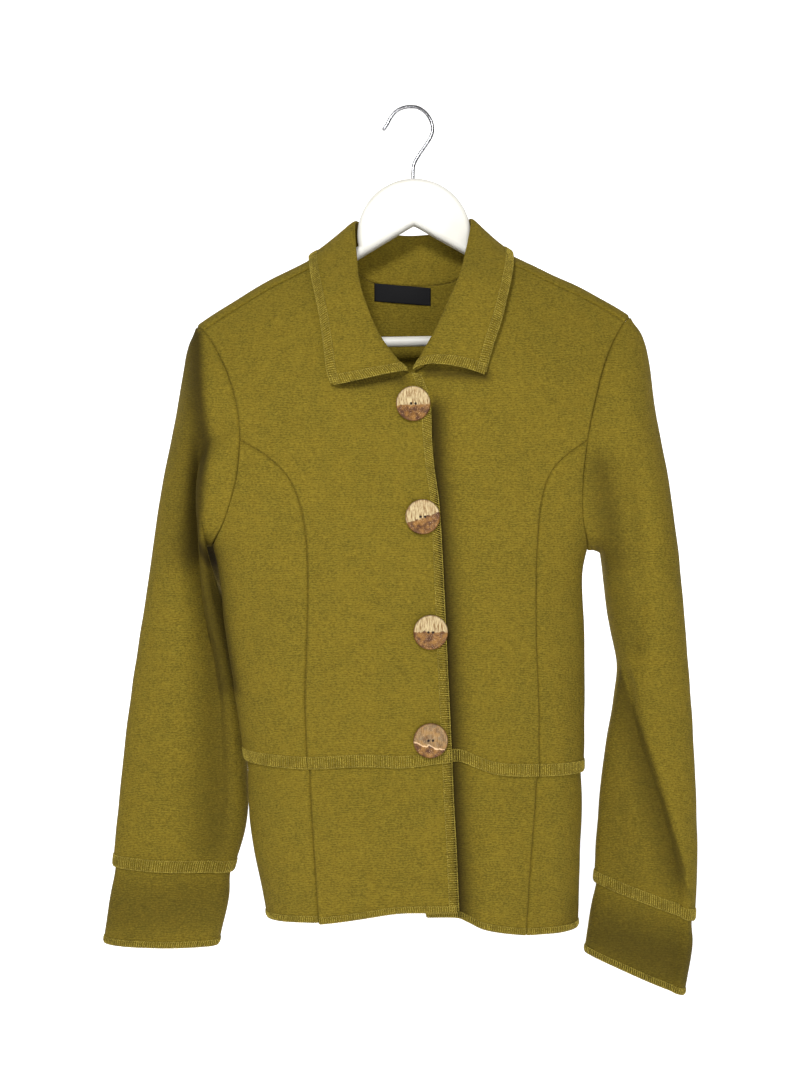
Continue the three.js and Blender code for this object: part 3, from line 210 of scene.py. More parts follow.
# Sleeve sections from the armhole to the cuff's edge, as the solids have them
SLEEVE_COLUMNS = "outer_x outer_down inner_x inner_down middle front back crease dip fold drop"
SLEEVES = {
    "right": table(
        SLEEVE_COLUMNS,
        (-204, 211, -190, 427, -6, 40, 34, 0.1, 0, -0.9, 0),
        (-213, 228, -199, 426, -5, 42, 36, 0.05, 12, -0.9, 2),
        (-220, 262, -202, 434, -2, 42, 36, 0, 22, -0.8, 4),
        (-227, 306, -192, 456, 2, 40, 34, -0.15, 27, -0.7, 6),
        (-236, 356, -184, 476, 6, 37, 32, -0.25, 27, -0.65, 10),
        (-245, 409, -177, 504, 8, 34, 28, -0.32, 24, -0.75, 12),
        (-256, 475, -170, 545, 12, 31, 25, -0.5, 20, -0.85, 10),
        (-266, 541, -165, 590, 14, 29, 24, -0.6, 18, -0.9, 6),
        (-275, 610, -161, 640, 13, 27, 23, -0.6, 16, -0.9, 4),
        (-282, 680, -161, 690, 9, 25, 22, -0.6, 12, -0.9, 2),
        (-286, 733, -173.5, 738, 5, 23, 21, -0.65, 5, -0.9, 0),
        (-289, 765, -178, 766, 3, 22, 20, -0.7, 3, -0.9, 0),
        (-294, 806, -187, 808, 0, 20, 18, -0.75, 2, -0.9, 0),
    ),
    "left": table(
        SLEEVE_COLUMNS,
        (212, 203, 172, 431, -6, 40, 34, -0.1, 0, -0.9, 0),
        (224, 218, 180, 429, -5, 41, 35, -0.1, 3, -0.9, 0),
        (231, 250, 186, 432, -4, 41, 35, 0, 3, -0.9, 0),
        (236, 297, 189, 447, -2, 39, 34, 0.1, 4, -0.9, 0),
        (246, 350, 192, 475, 0, 36, 32, 0.05, 5, -0.9, 0),
        (254, 402, 197, 507, 1, 33, 30, -0.1, 4, -0.95, 2),
        (260, 455, 203.5, 540, 2, 31, 28, -0.6, 4, -0.85, 6),
        (265, 515, 200, 575, 2, 30, 26, -0.6, 1, -0.55, 12),
        (270, 585, 193, 620, 2, 29, 25, -0.6, 0, -0.2, 15),
        (274, 655, 187, 668, 2, 28, 24, -0.6, 0, 0.25, 15),
        (276, 725, 183, 712, 2, 27, 23, -0.5, 0, 0.6, 14),
        (274, 785, 181, 749, 2, 25, 22, -0.4, 0, 0.78, 11),
        (272, 812, 178, 776, 2, 23, 21, -0.4, 0, 0.8, 9),
        (264, 857, 172.5, 817, 2, 20, 19, -0.4, 0, 0.8, 6),
    ),
}
CUFF_SEAM_ROW = {"right": 10, "left": 11}
CUFF_LAP_ROWS = 0.16
CUFF_FADE_ROWS = 0.7
CAP_ROWS = 4.5
CREASE_SPREAD = {"right": (0.17, 0.42), "left": (0.3, 0.3)}
FOLD_SPREAD = {"right": 0.3, "left": 0.17}
SECTION_ROUND = 0.8
ARMHOLE_OUT = 0.15
CELLS_IN_STEP = 6
SLEEVE_EASE = 2.4
SLEEVE_EASE_ROWS = 1.5

# The collar from the right front's end round the back to the left front's end
COLLAR = table(
    "along fold_x fold_y fold_down edge_x edge_y edge_down bulge",
    (0, -1, -73.5, 262, -72, -70, 275, 8),
    (0.04, -12, -71, 250, -76, -69.5, 263, 6.5),
    (0.09, -27, -66, 227, -78.5, -66, 244, 5),
    (0.15, -40, -57, 197, -82.4, -60, 217, 4),
    (0.21, -47, -45, 171, -87, -51, 194, 4),
    (0.26, -51, -24, 139.5, -93, -37, 167, 1),
    (0.3, -52.5, -9, 117.5, -96, -19, 148.5, -1.5),
    (0.33, -52, 3, 106.5, -96, 2, 142.8, -2),
    (0.38, -44, 22, 106, -85.5, 32, 155.5, -1),
    (0.44, -26, 32, 111, -50, 38, 171, 2),
    (0.5, 2, 35, 113, 3, 41, 176, 2),
    (0.56, 31, 32, 111, 56, 38, 171, 2),
    (0.62, 50, 22, 105, 91.5, 32, 153, -1),
    (0.67, 58.5, 3, 104, 98, 2, 139.5, -2),
    (0.7, 57.5, -9, 114.5, 98, -19, 145.5, -1.5),
    (0.74, 53, -24, 136.5, 96, -37, 163, 1),
    (0.79, 46, -45, 166, 90, -51, 189, 4),
    (0.85, 34, -57, 195, 84, -60, 213, 4),
    (0.91, 20, -66, 226, 76, -66, 237, 5),
    (0.96, 8, -70, 248, 71.5, -67.5, 253, 6.5),
    (1, 3, -71, 259.5, 68.5, -68.5, 265, 8),
)
RIGHT_SHOULDER_ALONG = 0.3
LEFT_SHOULDER_ALONG = 0.7
COLLAR_GAP = 0.8
COLLAR_END_LIFT = 2.6
COLLAR_END_RUN = 0.05
COLLAR_ARCH = 5
COLLAR_ARCH_RUN = 0.09
FOLD_HANDLE = 5
COLLAR_LINES = 190
COLLAR_END_LINES = (0.0012, 0.0027, 0.0045, 0.007, 0.0105)
COLLAR_MIDDLE_HALF = 0.487
STAND_LINES = 22
FALL_LINES = 26
FALL_END_LINES = (0.9, 0.93, 0.955, 0.975, 0.99, 1)

# Soft folds of the body, as raised or sunk lines on the front (side 1) or the back (side -1)
DRAPE = (
    # side, x and down at the top, x and down at the bottom, half width, height
    (1, -60, 430, -52, 760, 26, 1.6),
    (1, -128, 470, -118, 770, 18, 1.8),
    (1, -20, 560, -12, 762, 20, -1.6),
    (1, 84, 440, 78, 770, 22, 2),
    (1, 142, 480, 140, 780, 14, 1.8),
    (1, 60, 640, 56, 776, 9, -2.2),
    (-1, -80, 420, -90, 770, 26, 2.4),
    (-1, 0, 380, 6, 770, 30, -2.2),
    (-1, 88, 430, 96, 775, 26, 2.4),
)

# Painted shade: soft dark places painted into the cloth's colour where folds lie in shade,
# and along the right front's edge and the collar's ends, as lines on the front
SHADE = (
    # x and down at one end, x and down at the other, left and right half widths, strength
    (-204, 222, -193.5, 323.8, 18, 6, 0.85),
    (-191.5, 323.8, -203, 428, 24, 6, 0.85),
    (-200, 424, -190, 441, 9, 9, 1.0),
    (-190, 441, -168, 560, 9, 8, 0.75),
    (-193.4, 437.6, -181.1, 560.7, 15.2, 15.2, 0.7),
    (-181.1, 560.7, -185.8, 712.4, 22.7, 19.0, 0.45),
    (243.4, 310.0, 258.0, 450.0, 16, 16, 0.12),
    (178, 352, 196, 440, 16, 14, 0.5),
    (196, 440, 213, 520, 13, 12, 0.3),
    (199, 535, 262, 735, 26, 2.2, 0.62),
    (186, 560, 208, 745, 30, 30, 0.28),
    (-273.0, 774.0, -178.3, 764.5, 34.1, 34.1, 0.4),
    (185.6, 795.7, 259.5, 824.2, 39.8, 39.8, 0.65),
    (19.5, 300, 34, 534, 2, 13, 0.95),
    (34, 534, 44.5, 770, 2, 13, 0.95),
    (-62.7, 272.7, -7.7, 269.8, 5.7, 5.7, 0.75),
    (16.9, 263.2, 70.0, 267.0, 5.7, 5.7, 0.75),
)

# Overlocked bands: how far in from the edge each reaches, and the thread
STITCH_PITCH = 2.1
THREAD = 0.42
THREAD_SIDES = 4
# A direction that no thread follows
THREAD_LEAN = np.array([0.31, 0.87, 0.39])
BANDS = {"waist": 9.5, "front": 7.2, "collar": 7.5, "cuff": 9.5, "hem": 4.6}

# The studio, in millimetres, and its lights, in metres and watts
SWEEP_HALF = 4000
SWEEP_TOP = 3500
SWEEP_BEND = 300
BACKDROP_GLOW = 0.6
WORLD_LIGHT = 0.2
LIGHT_TARGET = (0, 0, -0.42)
LIGHTS = (
    # name, place, size, power
    ("key", (-0.4, -1.75, 0.6), 0.45, 31),
    ("front", (0.6, -2.2, -0.6), 1.4, 17),
)

# Buttons, label and hanger
BUTTON_THICK = 3.2
BUTTON_PROFILE = table(
    "radius height",
    (0, 2.2), (6.4, 2.4), (13, 3.08), (14.4, 3.22), (15.2, 3.1), (15.75, 2.5),
    (16, 1.9), (15.9, 1.3), (15.6, 0.9), (13.8, 0.05), (0, 0),
)
BUTTON_PIT = 1.7
BUTTON_HOLE_RADIUS = 1
BUTTON_HOLE_SPACING = 4.2
# Each button's upper part is painted cream over its grain, a painted reflection of the light above
BUTTONS = (
    # turn about the upright, tip, where the two tones meet, its slope, cream share, streak, seed
    (9, 2, -0.5, 0.05, 1, 0, 1.0),
    (5, -1, -1.0, 0.32, 1, 0, 2.0),
    (6, 1, 0.5, 0.0, 1, 0, 3.0),
    (4, -2, -5.5, -0.25, 0.3, 0.9, 4.0),
)
# The label's two upper corners, as x and down
LABEL_TOP = ((-35, 165), (20.5, 169.5))
LABEL_TALL = 17
LABEL_THICK = 0.7
LABEL_GAP = 0.45
LABEL_SAG = 0.7
LABEL_ROUND = 0.2

HANGER_CENTRE = 2
HANGER_TILT = np.radians(0.9)
HANGER_THICK = 16
HANGER_HALF = 207
EDGE_ROUND = 5
ARCH_RADIUS = 55
ARCH_DOWN = 124
ARCH_END = np.radians(104)
NOTCH_DOWN = 113.5
NOTCH_SLOPE = 0.586
# The arm's tip: how far in each place lies, and how far below the arm's end or the bar's middle
HANGER_TIP = ((5, 2, 0.6, 0, 3, 5.5, 9, 13, 17), (0.2, 1.4, 4, 8), (3, 5.8, 7, 6.6, 5))
HANGER_UNDER = (173, 150, 110, 60, 25, 6, 2)
BAR_RADIUS = 4.9
BAR_DOWN = 226
BAR_HALF = 190
WIRE_RADIUS = 1.7
ARM = table(
    "x down", (76, 145), (107, 157), (136, 169.8), (165, 185.2), (194, 201.6), (207, 209.6)
)
HOOK = table(
    "x down",
    (-25.6, 19.5), (-22.6, 15.6), (-19.6, 9.8), (-14, 3), (-7, -0.7), (0, -1.7), (8, -0.6),
    (15.6, 5), (20.4, 13), (21.6, 21.5), (19.4, 28.5), (13.6, 37.5), (7.6, 46), (3.2, 54), (2, 62),
    (2, 86),
)


# Smooth curves through tables


def smooth(keys, values):
    """Cubic pieces whose slope at each row is that of its two neighbours' chord."""
    last = len(keys) - 1
    here = np.arange(last + 1)
    before, after = np.maximum(here - 1, 0), np.minimum(here + 1, last)
    slopes = (values[after] - values[before]) / (keys[after] - keys[before])

    def at(where):
        key = np.clip(where, keys[0], keys[last])
        i = np.clip(np.searchsorted(keys, key, side="right") - 1, 0, last - 1)
        span = keys[i + 1] - keys[i]
        t = (key - keys[i]) / span
        s = 1 - t
        ends = values[i] * (1 + 2 * t) * s * s + values[i + 1] * t * t * (3 - 2 * t)
        return ends + span * (slopes[i] * t * s * s - slopes[i + 1] * t * t * s)

    return at


def line(rows):
    """A two-column table as a function of the fraction of its length."""
    first, second = rows.values()
    steps = np.hypot(np.diff(first), np.diff(second))
    length = np.concatenate([[0], np.cumsum(steps)])
    a, b = smooth(length, first), smooth(length, second)
    return lambda fraction: (a(fraction * length[-1]), b(fraction * length[-1]))


def smoothstep(value, low, high):
    """Rises from 0 at low to 1 at high as 3tt - 2ttt."""
    t = np.clip((value - low) / (high - low), 0, 1)
    return t * t * (3 - 2 * t)


def unit(vectors):
    """Vectors at length 1."""
    return vectors / np.maximum(np.linalg.norm(vectors, axis=-1, keepdims=True), 1e-9)


body_at = {name: smooth(BODY["down"], BODY[name]) for name in ("left", "right", "front", "back")}
ridge_down = smooth(RIDGE["x"], RIDGE["down"])
front_edge_x = smooth(FRONT_EDGE["down"], FRONT_EDGE["x"])
waist_down = smooth(WAIST["x"], WAIST["down"])

# The body's surface


def signed_power(value, power):
    """A power of the value's size that keeps its sign."""
    return np.sign(value) * np.abs(value) ** power


def part_way(low, high, across):
    """From low at -1 to high at 1."""
    return (low + high) / 2 + (high - low) / 2 * across


def fall_of(run):
    """Height lost in a run of cloth: over the rounded shoulder first, and then straight down."""
    over = SHOULDER_ROLL * (1 - np.cos(run / SHOULDER_ROLL))
    return np.where(run < ROLL_RUN, over, SHOULDER_ROLL + run - ROLL_RUN)


def body(turn, run):
    """The outer face at a turn round the body and a run down the cloth from the shoulders' line.

    Across is the turn's sine, and the depth its cosine, both to the power 2 over SECTION_POWER,
    between the left and right edges of that height. The depth swells from the shoulder's roll by
    a cubic.
    """
    turn = np.where(run < 0, np.pi - turn, turn)
    run = np.abs(run)
    facing = np.cos(turn)
    across = signed_power(np.sin(turn), 2 / SECTION_POWER)
    deep = np.abs(facing) ** (2 / SECTION_POWER)
    fall = fall_of(run)
    roll = np.where(run < ROLL_RUN, SHOULDER_ROLL * np.sin(run / SHOULDER_ROLL), SHOULDER_ROLL)
    x = np.zeros_like(across)
    for _ in range(BODY_PASSES):
        down = ridge_down(x) + fall
        left, right = body_at["left"](down), body_at["right"](down)
        x = part_way(left, right, across)
    spread = np.where(facing > 0, FRONT_SPREAD, BACK_SPREAD)
    fill = 1 - (1 - np.minimum(fall, spread) / spread) ** 3
    lean = 1 - (1 - np.minimum(fall, FRONT_SPREAD) / FRONT_SPREAD) ** 3
    full = np.where(facing > 0, body_at["front"](down), body_at["back"](down))
    depth = roll * (1 - fill) + full * deep * fill
    return np.stack([x, -SIDE_SEAM_LEAN * lean + np.where(facing > 0, -depth, depth), -down], -1)


def body_normal(turn, run):
    """The body's outward normal, from small steps in turn and run."""
    along_turn = body(turn + 1e-3, run) - body(turn - 1e-3, run)
    along_run = body(turn, run + 1) - body(turn, run - 1)
    return unit(np.cross(along_run, along_turn))


def run_at(x, down):
    """The run of a place below the shoulder's roll."""
    return ROLL_RUN + down - ridge_down(x) - SHOULDER_ROLL


def placed(x, down, back=False):
    """Turn and run of a place on the front or the back given by its x and height."""
    x, down = np.broadcast_arrays(np.asarray(x, float), np.asarray(down, float))
    left, right = body_at["left"](down), body_at["right"](down)
    across = np.clip((2 * x - left - right) / (right - left), -1, 1)
    turn = np.arcsin(signed_power(across, SECTION_POWER / 2))
    return np.stack([np.pi - turn if back else turn, run_at(x, down)], -1)


def placed_back(x, run):
    """Turn and run of a place on the back given by its x and run."""
    turn = placed(x, ridge_down(x) + fall_of(np.abs(run)), back=True)[..., 0]
    return np.stack([turn, run], -1)


def on_front(rows):
    """A line on the front as turn and run."""
    at = line(rows)
    return lambda fraction: placed(*at(fraction))


def on_back(rows):
    """A line on the back as turn and run."""
    at = line(rows)
    return lambda fraction: placed_back(*at(fraction))


def joined(*parts):
    """Curves end to end, each over its own number of the whole's steps."""
    bounds = np.cumsum([0] + [steps for _, steps in parts])

    def at(fraction):
        step = np.atleast_1d(fraction) * bounds[-1]
        out = np.empty((len(step), 2))
        for (curve, steps), low in zip(parts, bounds):
            mine = (step >= low) & (step <= low + steps + 1e-9)
            out[mine] = curve(np.clip((step[mine] - low) / steps, 0, 1))
        return out

    return at


def backwards(curve):
    """The same curve from its other end."""
    return lambda fraction: curve(1 - fraction)


def level(from_turn, to_turn, from_down, to_down):
    """A line across between two turns, level or sloping evenly in height."""

    def at(fraction):
        turn = from_turn + (to_turn - from_turn) * fraction
        down = from_down + (to_down - from_down) * fraction
        left, right = body_at["left"](down), body_at["right"](down)
        x = part_way(left, right, signed_power(np.sin(turn), 2 / SECTION_POWER))
        return np.stack([turn, run_at(x, down)], -1)

    return at


def between(rows, start, end, rise=0):
    """A stretch of a waist or hem line between two x places on the front."""
    down = smooth(rows["x"], rows["down"])

    def at(fraction):
        x = start + (end - start) * fraction
        return placed(x, down(x) - rise)

    return at


def side_seam(side, from_down, to_down, back=False):
    """The side seam, a quarter turn from the middle front, between two heights."""
    sign = SIDES[side]["sign"]
    edge = body_at["left" if side == "right" else "right"]
    runs = [float(placed(edge(down), down)[1]) for down in (from_down, to_down)]
    turn = 3 * np.pi / 2 if back and side == "right" else sign * np.pi / 2

    def at(fraction):
        run = runs[0] + (runs[1] - runs[0]) * fraction
        return np.stack([np.full_like(fraction, turn), run], -1)

    return at


def front_edge(side, from_down, to_down):
    """The front edge between two heights, as turn and run."""

    def at(fraction):
        down = from_down + (to_down - from_down) * fraction
        return placed(front_edge_x(down) + SIDES[side]["edge_shift"], down)

    return at


def back_level(height, rise=0):
    """A line across the back at one of the heights that both sides name."""
    right, left = SIDES["right"][height] - rise, SIDES["left"][height] - rise
    return level(3 * np.pi / 2, np.pi / 2, right, left)


# Raised and sunk places


def drape(points, side):
    """Soft folds: each is a bell across its line, and fades in from its top end."""
    height = np.zeros(points.shape[:-1])
    for own_side, x0, down0, x1, down1, width, tall in DRAPE:
        if own_side != side:
            continue
        along = np.clip((-points[..., 2] - down0) / (down1 - down0), 0, 1)
        fade = np.sin(np.pi / 2 * np.minimum(1, along * 2)) ** 2
        height += tall * fade * np.exp(-(((points[..., 0] - x0 - (x1 - x0) * along) / width) ** 2))
    return height


def painted_shade(points, facing):
    """How dark the painted shade of the folds is: bells about their lines, only where the cloth
    faces forward.
    """
    dark = np.zeros(points.shape[:-1])
    x, down = points[..., 0], -points[..., 2]
    for x0, down0, x1, down1, left, right, strength in SHADE:
        way = np.array([x1 - x0, down1 - down0])
        share = ((x - x0) * way[0] + (down - down0) * way[1]) / (way @ way)
        near = np.clip(share, 0, 1)
        off_x, off_down = x - x0 - way[0] * near, down - down0 - way[1] * near
        side = off_x * way[1] - off_down * way[0]
        width = np.where(side < 0, left, right)
        dark = np.maximum(dark, strength * np.exp(-(off_x**2 + off_down**2) / width**2))
    return dark * smoothstep(-facing[..., 1], 0.0, 0.35)


def unevenness(points):
    """The cloth's own small unevenness: ten sine waves of 25 to 110 mm in seeded directions."""
    rng = np.random.default_rng(11)
    height = np.zeros(points.shape[:-1])
    for length in np.geomspace(25, 110, 10):
        direction = unit(rng.normal(size=3))
        phase = rng.uniform(0, TURN)
        height += 0.0022 * length * np.sin(points @ direction * TURN / length + phase)
    return height


def closure_lift(side, points):
    """The right front rises where it laps over, and the left one sinks under it."""
    from_edge = points[..., 0] - front_edge_x(-points[..., 2])
    if side == "right":
        return RIGHT_RAISE * smoothstep(from_edge, *RIGHT_RISE_FROM_EDGE)
    return -LEFT_SINK * (1 - smoothstep(from_edge, *LEFT_RISE_FROM_EDGE))


def lap_sink(points, waist):
    """How far the peplum lies under the bodice's lapped edge: a bell below the waist line."""
    below = np.maximum(0, -points[..., 2] - waist)
    return -LAP_STEP * np.exp(-((below / LAP_FADE) ** 2))


def back_waist(points):
    """The back's waist line, level between the two sides' heights."""
    right, left = SIDES["right"]["waist"], SIDES["left"]["waist"]
    share = np.clip((points[..., 0] - BACK_WAIST_START) / BACK_WAIST_WIDTH, 0, 1)
    return right + (left - right) * share


# Grids


def grid_lines(steps, breaks, length):
    """Fractions for a grid's lines: cells of about CELL, closer together near both ends."""
    lines = [0.0]
    for low, high in zip((0, *breaks), (*breaks, steps)):
        cells = max(2, round(length * (high - low) / steps / CELL))
        lines.extend(low + (high - low) * np.arange(1, cells + 1) / cells)
    lines = np.array(lines) / steps
    fine = np.array(EDGE_LINES) / length
    middle = lines[(lines > fine[-1] * 1.3) & (lines < 1 - fine[-1] * 1.3)]
    return np.concatenate([[0], fine, middle, 1 - fine[::-1], [1]])


def spread_grid(edges, v, u, rows, columns):
    """Turns and runs of a panel's grid: the sum of both ways across less the corners' own blend.

    The turns inside are then evened out until each is the mean of its neighbours, weighed by how
    near they are in the solids' steps.
    """
    top, bottom = edges["top"](u), edges["bottom"](u)
    start, end = edges["start"](v), edges["end"](v)
    across, down = u[None, :, None], v[:, None, None]
    corners = (1 - across) * ((1 - down) * start[0] + down * start[-1])
    corners = corners + across * ((1 - down) * end[0] + down * end[-1])
    grid = (1 - down) * top + down * bottom + (1 - across) * start[:, None] + across * end[:, None]
    grid = grid - corners
    gap_u, gap_v = np.diff(u) * columns, np.diff(v) * rows
    half_u, half_v = gap_u[:-1] + gap_u[1:], gap_v[:-1] + gap_v[1:]
    before, after = 1 / (gap_u[:-1] * half_u), 1 / (gap_u[1:] * half_u)
    above, below = (1 / (gap_v[:-1] * half_v))[:, None], (1 / (gap_v[1:] * half_v))[:, None]
    total = before + after + above + below
    turn = grid[..., 0]
    for _ in range(EVENING_PASSES):
        inside = before * turn[1:-1, :-2] + after * turn[1:-1, 2:]
        inside += above * turn[:-2, 1:-1] + below * turn[2:, 1:-1]
        turn[1:-1, 1:-1] = inside / total
    return grid


def grid_lengths(points):
    """Distances over the cloth across and down a grid, each from its first line."""
    across = np.cumsum(np.linalg.norm(np.diff(points, axis=1), axis=-1), axis=1)
    down = np.cumsum(np.linalg.norm(np.diff(points, axis=0), axis=-1), axis=0)
    return np.pad(across, ((0, 0), (1, 0))), np.pad(down, ((1, 0), (0, 0)))


def seam_groove(points, sewn):
    """Sunk cloth along the sewn edges, by the distance to each: a bell SEAM_DEPTH deep."""
    across, down = grid_lengths(points)
    distances = {
        "start": across,
        "end": across[:, -1:] - across,
        "top": down,
        "bottom": down[-1:] - down,
    }
    depth = np.zeros(points.shape[:-1])
    for name in sewn:
        depth = np.maximum(depth, np.exp(-((distances[name] / SEAM_HALF_WIDTH) ** 2)))
    return -SEAM_DEPTH * depth


def grid_normals(points, around, sign):
    """Normals of a grid from its neighbours' differences, wrapped round where it is a tube."""
    down = np.gradient(points, axis=0)
    if around:
        across = np.roll(points, -1, axis=1) - np.roll(points, 1, axis=1)
    else:
        across = np.gradient(points, axis=1)
    return unit(np.cross(down, across)) * sign


# Meshes


def faces_out(points, faces):
    """The faces, turned round if the volume they close is negative.

    Six times the volume is the sum of a . (b x c) + a . (c x d).
    """
    a, b, c, d = points[faces].swapaxes(0, 1)
    volume = (a * (np.cross(b, c) + np.cross(c, d))).sum()
    return faces if volume > 0 else faces[:, ::-1]


def make_object(name, points, faces, material, uv=None):
    """A smooth mesh object from points in millimetres and faces, with or without a UV."""
    mesh = bpy.data.meshes.new(name)
    mesh.from_pydata((points * MM).tolist(), [], faces)
    if uv is not None:
        layer = mesh.uv_layers.new(name="cloth")
        loops = np.empty(len(mesh.loops), int)
        mesh.loops.foreach_get("vertex_index", loops)
        layer.data.foreach_set("uv", uv[loops].ravel())
    mesh.polygons.foreach_set("use_smooth", np.full(len(mesh.polygons), True))
    mesh.materials.append(material)
    mesh.validate()
    obj = bpy.data.objects.new(name, mesh)
    bpy.context.scene.collection.objects.link(obj)
    return obj


def quads(first, second, third, fourth):
    """Faces from four arrays of point numbers."""
    return np.stack([first, second, third, fourth], -1).reshape(-1, 4)


def ring_faces(number):
    """Faces between closed rings of point numbers."""
    turned = np.roll(number, -1, axis=1)
    return quads(number[:-1], turned[:-1], turned[1:], number[1:])


def wall(outer, inward, bulge, around=False):
    """A closed wall from its outer grid and the vectors to its inner one.

    Round the free edges a middle line stands out by the bulge, half way through the cloth, so the
    edge is round. Bulge names the four edges' heights. A tube wraps round and has two edges.
    """
    rows, columns = outer.shape[:2]
    inner = outer + inward
    number = np.arange(rows * columns).reshape(rows, columns)
    if around:
        number = np.hstack([number, number[:, :1]])
    half = rows * columns
    a, b, c, d = number[:-1, :-1], number[1:, :-1], number[1:, 1:], number[:-1, 1:]
    faces = [quads(a, b, c, d), quads(a, d, c, b) + half * np.ones(4, int)]
    points = [outer.reshape(-1, 3), inner.reshape(-1, 3)]
    if around:
        loops = [
            (number[0], outer[0] - outer[1], "top"),
            (number[-1, ::-1], outer[-1] - outer[-2], "bottom"),
        ]
        rims = []
        for loop, out, edge in loops:
            ids = loop[:-1]
            outward = unit(out)[ids % columns] * bulge[edge]
            rims.append((ids, outward))
    else:
        out = np.zeros_like(outer)
        out[0] += unit(outer[0] - outer[1]) * bulge["top"]
        out[-1] += unit(outer[-1] - outer[-2]) * bulge["bottom"]
        out[:, 0] += unit(outer[:, 0] - outer[:, 1]) * bulge["start"]
        out[:, -1] += unit(outer[:, -1] - outer[:, -2]) * bulge["end"]
        ids = np.concatenate([number[0, :-1], number[:-1, -1], number[-1, :0:-1], number[:0:-1, 0]])
        rims = [(ids, out.reshape(-1, 3)[ids])]
    count = 2 * half
    for ids, outward in rims:
        middle = (points[0][ids] + points[1][ids]) / 2 + outward
        points.append(middle)
        mid = count + np.arange(len(ids))
        count += len(ids)
        following, mid_following = np.roll(ids, -1), np.roll(mid, -1)
        faces.append(quads(ids, following, mid_following, mid))
        faces.append(quads(mid, mid_following, following + half, ids + half))
    faces = np.concatenate(faces)
    points = np.concatenate(points)
    return points, faces_out(points, faces)


def cloth_uv(points, count):
    """Distances over the cloth across and down, in metres, for the outer and inner points."""
    across, down = grid_lengths(points)
    flat = np.stack([across.ravel(), down.ravel()], -1) * MM
    uv = np.concatenate([flat, flat])
    return np.concatenate([uv, np.zeros((count - len(uv), 2))])


def add_cloth(name, outer, inward, bands, around=False, shaded=True):
    """A sheet of the cardigan's cloth that stands for its solid, with bands on its free edges."""
    bulge = {edge: EDGE_BULGE if edge in bands else 0.0 for edge in EDGES}
    points, faces = wall(outer, inward, bulge, around)
    uv = cloth_uv(outer, len(points))
    piece = make_object(f"{name}_cloth", points, faces, wool_material(), uv)
    # Painted shade: each outer point gets how much painted shade the wool mixes into its colour
    if shaded:
        dark = np.zeros(len(points))
        dark[: outer.shape[0] * outer.shape[1]] = painted_shade(outer, -unit(inward)).ravel()
        values = piece.data.attributes.new("shade", "FLOAT", "POINT").data
        values.foreach_set("value", dark)
    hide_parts(name)
    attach(piece, "root")
    threads = add_stitching(f"{name}_stitching", outer, -unit(inward), bands)


def add_panel(name, edges, steps, size, lift, sewn, bands, breaks=((), ())):
    """A panel on the body, with the solids' steps and its rough size, each down and across."""
    v, u = (grid_lines(*given) for given in zip(steps, breaks, size))
    grid = spread_grid(edges, v, u, *steps)
    turn, run = grid[..., 0], grid[..., 1]
    normal = body_normal(turn, run)
    points = body(turn, run)
    height = lift(points) + unevenness(points)
    outer = points + normal * height[..., None]
    groove = seam_groove(outer, sewn)
    outer = outer + normal * groove[..., None]
    inner = points + normal * (height - CLOTH)[..., None]
    add_cloth(name, outer, inner - outer, bands)


# Stitching


def at_distance(lines, distance):
    """The place on each line at a distance along it from its first point."""
    steps = np.linalg.norm(np.diff(lines, axis=1), axis=-1)
    length = np.pad(np.cumsum(steps, axis=1), ((0, 0), (1, 0)))
    if distance <= 0:
        back = unit(lines[:, 0] - lines[:, 1])
        return lines[:, 0] - back * distance
    i = np.minimum((length < distance).sum(axis=1) - 1, lines.shape[1] - 2)
    here = np.arange(len(lines))
    share = (distance - length[here, i]) / (length[here, i + 1] - length[here, i])
    return lines[here, i] + (lines[here, i + 1] - lines[here, i]) * share[:, None]


def interpolate(where, keys, rows):
    """Rows of three numbers, read in between."""
    return np.stack([np.interp(where, keys, column) for column in rows.T], -1)


def tubes(paths, radius):
    """Threads along many short paths at once: a ring about each path's point."""
    sides = THREAD_SIDES
    along = unit(np.gradient(paths, axis=1))
    side = unit(np.cross(along, THREAD_LEAN))
    up = np.cross(side, along)
    angle = np.arange(sides) * TURN / sides
    ring = side[:, :, None] * np.cos(angle)[:, None] + up[:, :, None] * np.sin(angle)[:, None]
    points = paths[:, :, None] + ring * radius
    count, length = paths.shape[:2]
    number = np.arange(count * length * sides).reshape(count, length, sides)
    turned = np.roll(number, -1, axis=2)
    skin = quads(number[:, :-1], turned[:, :-1], turned[:, 1:], number[:, 1:])
    caps = [number[:, 0, ::-1].reshape(-1, sides), number[:, -1].reshape(-1, sides)]
    return points.reshape(-1, 3), np.concatenate([skin, *caps])


def edge_lines(points, normals, edge):
    """A grid's lines that run in from one of its edges, with the normals along that edge."""
    if edge in ("top", "bottom"):
        points, normals = points.swapaxes(0, 1), normals.swapaxes(0, 1)
    if edge in ("bottom", "end"):
        points, normals = points[:, ::-1], normals[:, ::-1]
    return points, normals[:, 0]


